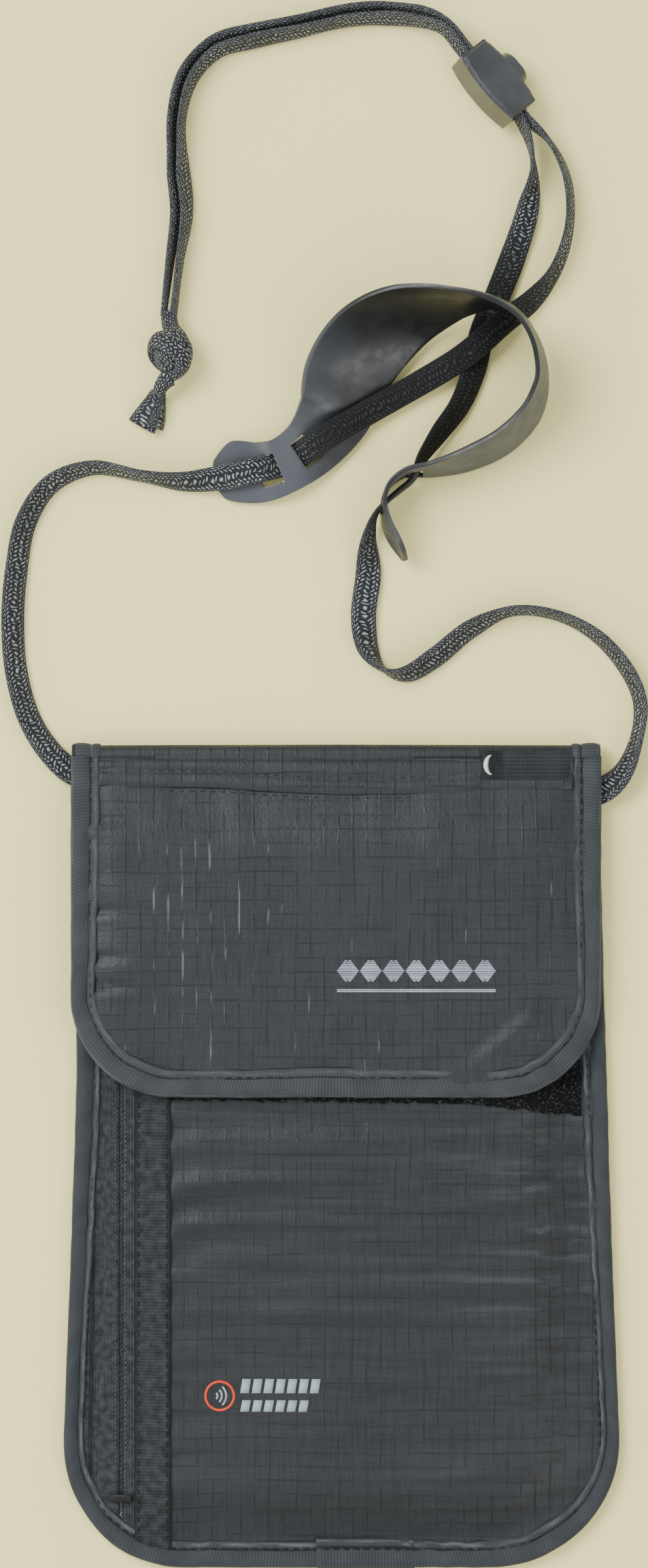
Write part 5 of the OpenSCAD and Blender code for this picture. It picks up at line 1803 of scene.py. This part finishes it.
        # The hem was turned a little unevenly: deeper at the middle and right than at the left.
        sag = np.interp(
            x, (-62, -30, 0, 30, 36, 62), (1.0, 0.4, -1.4, -1.1, -0.2, -0.1)
        ) + 0.18 * soft_noise(x, x * 0, 12, 95)
        gy = np.array([101.3 - d for d, _ in profile])[:, None]
        gy = gy + sag[None, :] * smooth((101.3 - gy) / 3.3)
        gx = np.repeat(x[None, :], len(profile), axis=0)
        lift = np.array([h for _, h in profile])[:, None] * (1 + 0.25 * soft_noise(x, x * 0, 5, 96))[None, :]
        gz = flap_height(gx, gy) + flap_wrinkles(gx, gy) * 0.3 + lift
        keep = np.ones((len(profile) - 1, len(x) - 1), bool)
        inside = (x[:-1] > 38.6) & (x[1:] < 59.8)
        keep[:6, inside] = False
        obj = grid_sheet(
            "hem_folds", np.stack([gx, gy, gz], -1)[::-1], np.stack([gx, gy], -1)[::-1], 0.4,
            self.finishes(RIPSTOP), keep[::-1],
        )
        fit(obj, Body.FLAP, "shell_fabric", "flap_hem")
        rows = []
        for drop, lift_up in ((3.55, 0.14), (8.6, 0.04)):
            xs = x[(x < 38.4)] if drop < 5 else x
            ys = 101.3 - drop + np.interp(xs, x, sag)
            rows.append(np.column_stack([xs, ys, flap_height(xs, ys) + lift_up]))
        fit(
            self.rows.along(
                "hem_stitches", rows, self.finishes(HEM_THREAD), length=1.5, width=0.3, height=0.18
            ),
            Body.FLAP, "shell_fabric",
        )
        xs = np.linspace(37.0, 60.6, 40)
        ys = np.linspace(96.1, 103.4, 18)
        gx, gy = np.meshgrid(xs, ys)
        gz = self.surface(gx, gy) + 0.26 + 0.04 * np.sin(gy * 2 * math.pi / 1.0)
        lining = grid_sheet(
            "tunnel_ribbon", np.stack([gx, gy, gz], -1), np.stack([gx, gy], -1), 0.3, self.finishes(TUNNEL)
        )
        fit(lining, Body.FLAP, "shell_fabric")
        # A near-white rim along the opening's curved lip: a cut foil edge that also serves as a painted
        # highlight.
        turn = np.linspace(math.radians(100), math.radians(262), 18)
        centre = np.column_stack([39.9 + 1.8 * np.cos(turn), 99.8 + 2.5 * np.sin(turn)])
        rim = []
        width = 0.62 * np.sin(np.linspace(0.15, math.pi - 0.15, 18))
        out = np.column_stack([np.cos(turn), np.sin(turn)])
        for side, up in ((1, 0.55), (0, 0.85), (-1, 0.55), (0, 0.2)):
            xy = centre + out * (side * width)[:, None]
            rim.append(np.column_stack([xy, flap_height(xy[:, 0], xy[:, 1]) + up + 0.1]))
        crescent = swept("silver_rim", np.stack(rim, axis=1), self.finishes(SILVER_EDGE_HIGHLIGHT), 2.0)
        fit(crescent, Body.FLAP, "foil_lining")

    def hooks(self) -> None:
        """Sets rows of hooks on the hook tape under the flap."""
        x, y = np.meshgrid(np.linspace(-40, 40, 60), np.linspace(22.8, 36.8, 12))
        base = np.stack([x, y, np.full_like(x, 9.0)], -1)
        tape = grid_sheet("hook_base", base, np.stack([x, y], -1), 0.3, self.finishes(PILE))
        fit(tape, Body.FLAP, "closure_tape", "hook_tape")
        rows = []
        for row_y in np.arange(23.6, 36.6, 1.3):
            xs = np.linspace(-39.2, 39.2, 60)
            rows.append(np.column_stack([xs, np.full_like(xs, row_y), np.full_like(xs, 8.66)]))
        hooks = self.rows.along(
            "hooks", rows, self.finishes(THREAD), pitch=1.4, length=0.3, width=0.28, height=0.4, jitter=0.3
        )
        fit(hooks, Body.FLAP, "closure_tape")

    def emblem(self) -> None:
        """Stitches a row of lozenges with a line under it."""
        rows = []
        for k in range(7):
            cx, cy = 3.0 + 5.8 * k, 47.5
            for t in np.linspace(-0.92, 0.92, 15):
                half = 2.4 * (1 - abs(t))
                y = cy + t * 3.2
                if half > 0.2:
                    xs = np.linspace(cx - half, cx + half, 6)
                    rows.append(np.column_stack([xs, np.full(6, y), self.surface(xs, np.full(6, y)) + 0.12]))
        for y in (42.3, 42.75):
            xs = np.linspace(0.6, 40.2, 60)
            rows.append(np.column_stack([xs, np.full(60, y), self.surface(xs, np.full(60, y)) + 0.12]))
        obj = self.rows.along(
            "emblem_stitches", rows, self.finishes(PALE_THREAD), pitch=0.55, length=1.0, width=0.42,
            height=0.42, jitter=0.08,
        )
        fit(obj, Body.FLAP, "emblem_thread", "flap_emblem")


@dataclass
class NeckCord:
    """The flat braided cord with its knot, neck pad and sliding lock."""

    finishes: Finishes
    width: float = 6.8
    thickness: float = 1.4
    squeezed: float = 5.2
    lock_at: tuple[float, float, float] = (40.0, 273.0, 6.5)
    lock_turn: float = -50.0
    lock_tilt: float = 22.0
    lock_length: float = 20.5
    pair_gap: float = 2.5

    def build(self) -> None:
        """Makes the cord and what is on it."""
        left, left_line = self.run("cord_braid_left", RUN_LEFT, 1)
        right, right_line = self.run("cord_braid_right", RUN_RIGHT, -1)
        fit(left, Body.POUCH, "cord_braid", "cord_left", "cord_anchor_left")
        fit(right, Body.POUCH, "cord_braid", "cord_right", "cord_anchor_right")
        knot = fit(self.knot(), Body.POUCH, "cord_braid", "cord_knot")
        tail = fit(self.tail(), Body.POUCH, "cord_braid", "cord_tail")
        pad = fit(self.pad(), Body.POUCH, "pad_elastomer", "neck_pad")
        shell, button = self.lock()

    def lying(self, lift: float, roll: float, width: float, thickness: float) -> float:
        """Height of a flat strip's middle when its low edge is lift above the surface."""
        a = math.radians(roll)
        return lift + 0.1 + width / 2 * abs(math.sin(a)) + thickness / 2 * abs(math.cos(a))

    def in_lock(self, x: float, y: float) -> np.ndarray:
        """Finds a place in the lock.

        Args:
            x: Distance along the cords from its middle, in millimetres.
            y: Distance towards the button, in millimetres.

        Returns:
            The place in the frame, in millimetres.
        """
        a, b = math.radians(self.lock_turn), math.radians(self.lock_tilt)
        return (
            np.array(self.lock_at)
            + x * np.array([math.cos(a), math.sin(a), 0])
            + y * np.array([-math.sin(a) * math.cos(b), math.cos(a) * math.cos(b), -math.sin(b)])
        )

    def route(self, run: Sequence[Sequence[float]], side: int) -> np.ndarray:
        """One whole run from the pouch to the knot.

        Args:
            run: Its points up to the lock.
            side: 1 or -1, for the outer or inner cord of the pair.

        Returns:
            Rows of x, y, z, roll and width.
        """
        rows = [
            (x, y, self.lying(lift, roll, self.width, self.thickness), roll, self.width)
            for x, y, lift, roll in run
        ]
        for x in (
            self.lock_length / 2 + 1.5, 4.0, -4.0, -self.lock_length / 2 - 1.0, -self.lock_length / 2 - 8.5
        ):
            p = self.in_lock(x, side * (self.thickness / 2 + 0.05))
            rows.append((*p, 90 + self.lock_tilt, self.squeezed))
        plan = np.array([(x, y, 0.0) for x, y, _, _ in PAIR])
        for k, ((x, y, lift, roll), t) in enumerate(zip(PAIR, directions(plan))):
            away = np.array([t[1], -t[0]]) * side * self.pair_gap / 2
            # The knot gathers the cord's width at its mouth.
            width = self.width * min(1.0, 0.6 + 0.2 * (len(PAIR) - 1 - k))
            rows.append(
                (x + away[0], y + away[1], self.lying(lift, roll, width, self.thickness), roll, width)
            )
        return np.array(rows, float)

    def flat_rings(
        self, line: np.ndarray, roll: np.ndarray, width: np.ndarray, thickness: float, count: int = 20,
        power: float = 0.6,
    ) -> np.ndarray:
        """Sections of a flat strip whose width leans by its roll.

        Args:
            line: The strip's middle.
            roll: Lean at each point, in degrees.
            width: Width at each point.
            thickness: The strip's thickness.
            count: Points in each section.
            power: Below 1 squares the section's ends off.

        Returns:
            Rings of points.
        """
        t = directions(line)
        s = np.column_stack([-t[:, 1], t[:, 0], np.zeros(len(t))])
        s /= np.linalg.norm(s, axis=1)[:, None]
        up = np.cross(t, s)
        a = np.radians(roll)[:, None]
        across, out = np.cos(a) * s + np.sin(a) * up, np.cos(a) * up - np.sin(a) * s
        turn = np.linspace(0, 2 * math.pi, count, endpoint=False)
        cx = np.sign(np.cos(turn)) * np.abs(np.cos(turn)) ** power
        cy = np.sign(np.sin(turn)) * np.abs(np.sin(turn)) ** 0.8
        return (
            line[:, None, :]
            + across[:, None, :] * cx[None, :, None] * width[:, None, None] / 2
            + out[:, None, :] * cy[None, :, None] * thickness / 2
        )

    def run(
        self, name: str, points: Sequence[Sequence[float]], side: int
    ) -> tuple[bpy.types.Object, np.ndarray]:
        """Makes one run of the cord.

        Args:
            name: The piece's name.
            points: Its points up to the lock.
            side: 1 or -1, for the outer or inner cord of the pair.

        Returns:
            The braid, and its middle line in millimetres.
        """
        rows = spline(self.route(points, side), 1.3)
        line = rows[:, :3]
        wobble = soft_noise(along(line), along(line) * 0, 9, 101 + side)
        rings = self.flat_rings(line, rows[:, 3] + 4 * wobble, rows[:, 4] + 0.25 * wobble, self.thickness)
        rings[:, :, 2] = np.maximum(rings[:, :, 2], 0.03)
        obj = swept(name, rings, self.finishes(CORD), 15.6)
        return obj, line

    def knot(self) -> bpy.types.Object:
        """Ties the two runs in an overhand knot.

        Returns:
            The knot, with the cord bundled inside it.
        """
        centre = np.array([-42.3, 204.5, 5.2])
        path = np.array([
            (-0.4, 11.2, -1.5), (0.2, 6.8, 0.6), (2.4, 4.0, 2.9), (4.3, 0.4, 1.6), (3.2, -2.8, -2.2),
            (-0.8, -2.6, -3.7), (-4.0, 0.6, -1.4), (-3.4, 3.4, 2.0), (0.2, 2.2, 4.3), (3.4, -1.2, 3.4),
            (2.6, -4.4, 0.9), (-0.6, -6.4, 0.4), (-2.4, -8.6, -0.9), (-3.2, -10.6, -2.2),
        ])
        line = spline(path, 0.6)
        t = directions(line)
        out = line - t * np.sum(line * t, axis=1)[:, None]
        out[np.abs(line[:, 1]) > 6] = (0, 0, 1)
        out /= np.linalg.norm(out, axis=1)[:, None]
        across = np.cross(t, out)
        turn = np.linspace(0, 2 * math.pi, 14, endpoint=False)
        s = along(line) / along(line)[-1]
        wide = np.interp(s, (0.0, 0.12, 0.5, 0.88, 1.0), (2.1, 2.6, 2.9, 2.6, 1.8))
        rings = (
            line[:, None, :] + centre
            + across[:, None, :] * (np.cos(turn)[None, :] * wide[:, None])[:, :, None]
            + out[:, None, :] * np.sin(turn)[None, :, None] * 1.45
        )
        obj = swept("knot_braid", rings, self.finishes(CORD), 14.0)
        core = bmesh.new()
        core.from_mesh(obj.data)
        ball = bmesh.ops.create_icosphere(core, subdivisions=3, radius=1.0)["verts"]
        for v in ball:
            v.co = Vector(centre * MM) + Vector((v.co.x * 4.3, v.co.y * 5.2, v.co.z * 4.7)) * MM
        uv = core.loops.layers.uv.verify()
        inside = set(ball)
        for f in core.faces:
            f.smooth = True
            for corner in f.loops:
                if corner.vert in inside:
                    at = corner.vert.co / MM
                    corner[uv].uv = (at.x + at.z, at.y)
        core.to_mesh(obj.data)
        core.free()
        return obj

    def tail(self) -> bpy.types.Object:
        """Fans out the cord's folded end below the knot.

        Returns:
            The two leaves as one piece.
        """
        leaves = []
        for path, wide, twist in (
            (
                ((-45.4, 194.8, 3.2), (-46.8, 191.8, 3.0), (-48.4, 188.6, 2.4), (-49.6, 186.2, 1.5)),
                (1.9, 2.6, 3.4, 3.9), 10,
            ),
            (
                ((-44.7, 194.6, 2.2), (-45.0, 191.4, 2.0), (-45.5, 188.2, 1.9), (-46.2, 185.6, 1.6)),
                (1.5, 2.0, 2.7, 3.0), -52,
            ),
        ):
            rows = spline(np.column_stack([np.array(path), np.array(wide)]), 0.6)
            rings = self.flat_rings(rows[:, :3], np.full(len(rows), float(twist)), rows[:, 3] * 2, 1.7, 18)
            rings[:, :, 2] = np.maximum(rings[:, :, 2], 0.2)
            leaves.append(swept("tail_braid", rings, self.finishes(CORD), 15.6))
        join = leaves[0]
        work = bmesh.new()
        for leaf in leaves:
            work.from_mesh(leaf.data)
        work.to_mesh(join.data)
        work.free()
        spare = leaves[1].data
        bpy.data.objects.remove(leaves[1])
        bpy.data.meshes.remove(spare)
        join.name = "tail_braid"
        return join

    def pad(self) -> bpy.types.Object:
        """Moulds the lens-shaped neck pad with two slots at each end.

        Returns:
            The pad.
        """
        thickness = 1.2
        rows = np.array(
            [(x, y, self.lying(lift, roll, w, thickness), roll, w) for x, y, lift, roll, w in PAD], float
        )
        rows = spline(rows, 0.8)
        line, roll, width = rows[:, :3], rows[:, 3], rows[:, 4]
        t = directions(line)
        s = np.column_stack([-t[:, 1], t[:, 0], np.zeros(len(t))])
        s /= np.linalg.norm(s, axis=1)[:, None]
        up = np.cross(t, s)
        a = np.radians(roll)[:, None]
        across, out = np.cos(a) * s + np.sin(a) * up, np.cos(a) * up - np.sin(a) * s
        ends = np.minimum(along(line), along(line)[-1] - along(line))
        # The free end tapers to a soft point.
        width = width * np.interp(along(line)[-1] - along(line), (0.0, 15.0), (0.34, 1.0))
        half = width / 2 * np.sqrt(np.clip(1 - (1 - np.clip((ends + 0.4) / 5.0, 0, 1)) ** 2, 0.02, 1))
        v = np.linspace(-1, 1, 41)
        # The pad is dished across its width where it is wide.
        dish = (v[None, :] ** 2) * np.interp(width, (15, 26), (0.15, 1.6))[:, None]
        points = line[:, None, :] + across[:, None, :] * (
            v[None, :] * half[:, None]
        )[:, :, None] + out[:, None, :] * dish[:, :, None]
        points[:, :, 2] = np.maximum(points[:, :, 2], 0.75)
        distance = along(line)
        uv = np.stack([np.repeat(distance[:, None], 41, 1), v[None, :] * half[:, None]], -1)
        mid_d = (distance[:-1] + distance[1:]) / 2
        mid_v = (v[:-1] + v[1:])[None, :] / 2 * half[:-1, None]
        keep = np.ones((len(line) - 1, 40), bool)
        for x, y in ((-17.2, 175.4), (-8.0, 179.7), (12.1, 166.0), (20.0, 174.2)):
            near = distance[np.argmin(np.hypot(line[:, 0] - x, line[:, 1] - y))]
            drop = -1.5 if x > 0 else 0.0
            keep &= ~((np.abs(mid_d - near)[:, None] < 2.3) & (np.abs(mid_v - drop) < 3.9))
        obj = grid_sheet(
            "pad_strip", points[:, ::-1], uv[:, ::-1], thickness, self.finishes(PAD_INNER), keep[:, ::-1],
            0.0, self.finishes(PAD_OUTER),
        )
        soften = obj.modifiers.new("rounding", "BEVEL")
        soften.width = 0.3 * MM
        soften.segments = 2
        soften.limit_method = "ANGLE"
        soften.angle_limit = math.radians(60)
        return plain_mesh(obj)

    def lock(self) -> tuple[bpy.types.Object, bpy.types.Object]:
        """Rounds off the cord lock's body and button, and dresses its spring.

        Returns:
            The body and the button.
        """
        shell = fit(
            softened_copy("lock_body", "lock_shell", 0.2, 5, self.finishes(LOCK_ACETAL)), Body.LOCK,
            "lock_plastic", "lock_body",
        )
        button = fit(
            softened_copy("lock_button", "lock_plunger", 0.15, 5, self.finishes(LOCK_ACETAL)), Body.BUTTON,
            "lock_plastic", "lock_button",
        )
        wire = bevelled_copy("lock_spring", "lock_coil", 0.02, self.finishes(SPRING))
        fit(wire, Body.LOCK, "spring_wire", "lock_spring")
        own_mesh(wire)
        return shell, button


@dataclass
class Studio:
    """The card that the pouch lies on, the lights and the camera."""

    finishes: Finishes
    centre: tuple[float, float] = (-3.08, 94.92)
    frame_height: float = 399.5
    distance: float = 1500.0

    def camera(self) -> None:
        """Looks straight down on the laid-out pouch and cord."""
        data = bpy.data.cameras.new("camera")
        data.sensor_width = 36.0
        data.lens = 36.0 * (self.distance - 4.0) / self.frame_height
        data.clip_start, data.clip_end = 0.05, 20.0
        obj = bpy.data.objects.new("camera", data)
        obj.location = (self.centre[0] * MM, self.centre[1] * MM, self.distance * MM)
        bpy.context.scene.collection.objects.link(obj)
        bpy.context.scene.camera = obj

    def card(self) -> None:
        """Spreads the pale card."""
        size = 6000.0
        card = make_object(
            "card",
            np.array([(-size, -size, -0.3), (size, -size, -0.3), (size, size, -0.3), (-size, size, -0.3)]),
            [(0, 1, 2, 3)], None, self.finishes(PAPER),
        )

    def lights(self) -> None:
        """Hangs two broad soft lights and a bright even surround."""
        world = bpy.data.worlds.new("surround")
        world.use_nodes = True
        world.node_tree.nodes["Background"].inputs[0].default_value = (1.0, 1.0, 1.0, 1.0)
        world.node_tree.nodes["Background"].inputs[1].default_value = 0.785
        bpy.context.scene.world = world
        for name, place_m, size, power in (
            ("key", (-0.78, 0.68, 1.15), 0.8, 23.5),
            ("fill", (0.75, -0.35, 1.4), 1.2, 6.0),
            ("glint", (0.78, -0.62, 0.72), 0.4, 3.0),
            ("sill", (-1.0, -0.45, 0.42), 0.6, 5.0),
        ):
            data = bpy.data.lights.new(name, "AREA")
            data.shape, data.size, data.energy = "SQUARE", size, power
            obj = bpy.data.objects.new(name, data)
            obj.location = place_m
            aim = Vector((0.0, 0.09, 0.0)) - Vector(place_m)
            obj.rotation_euler = aim.to_track_quat("-Z", "Y").to_euler()
            bpy.context.scene.collection.objects.link(obj)

    def build(self) -> None:
        """Makes the card and the lights."""
        self.card()
        self.lights()


def write_sizes() -> None:
    """Brings the scene's transforms up to date."""
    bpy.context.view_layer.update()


def main() -> None:
    """Builds the pouch and its setting in order."""
    logging.basicConfig(level=logging.INFO, format="%(name)s %(message)s")
    finishes = Finishes()
    studio = Studio(finishes)
    studio.camera()
    NeckCord(finishes).build()
    rows = RowMaker()
    Pouch(finishes, rows).build()
    Zip(finishes, rows).build()
    Flap(finishes, rows).build()
    studio.build()
    write_sizes()


if __name__ == "__main__":
    main()
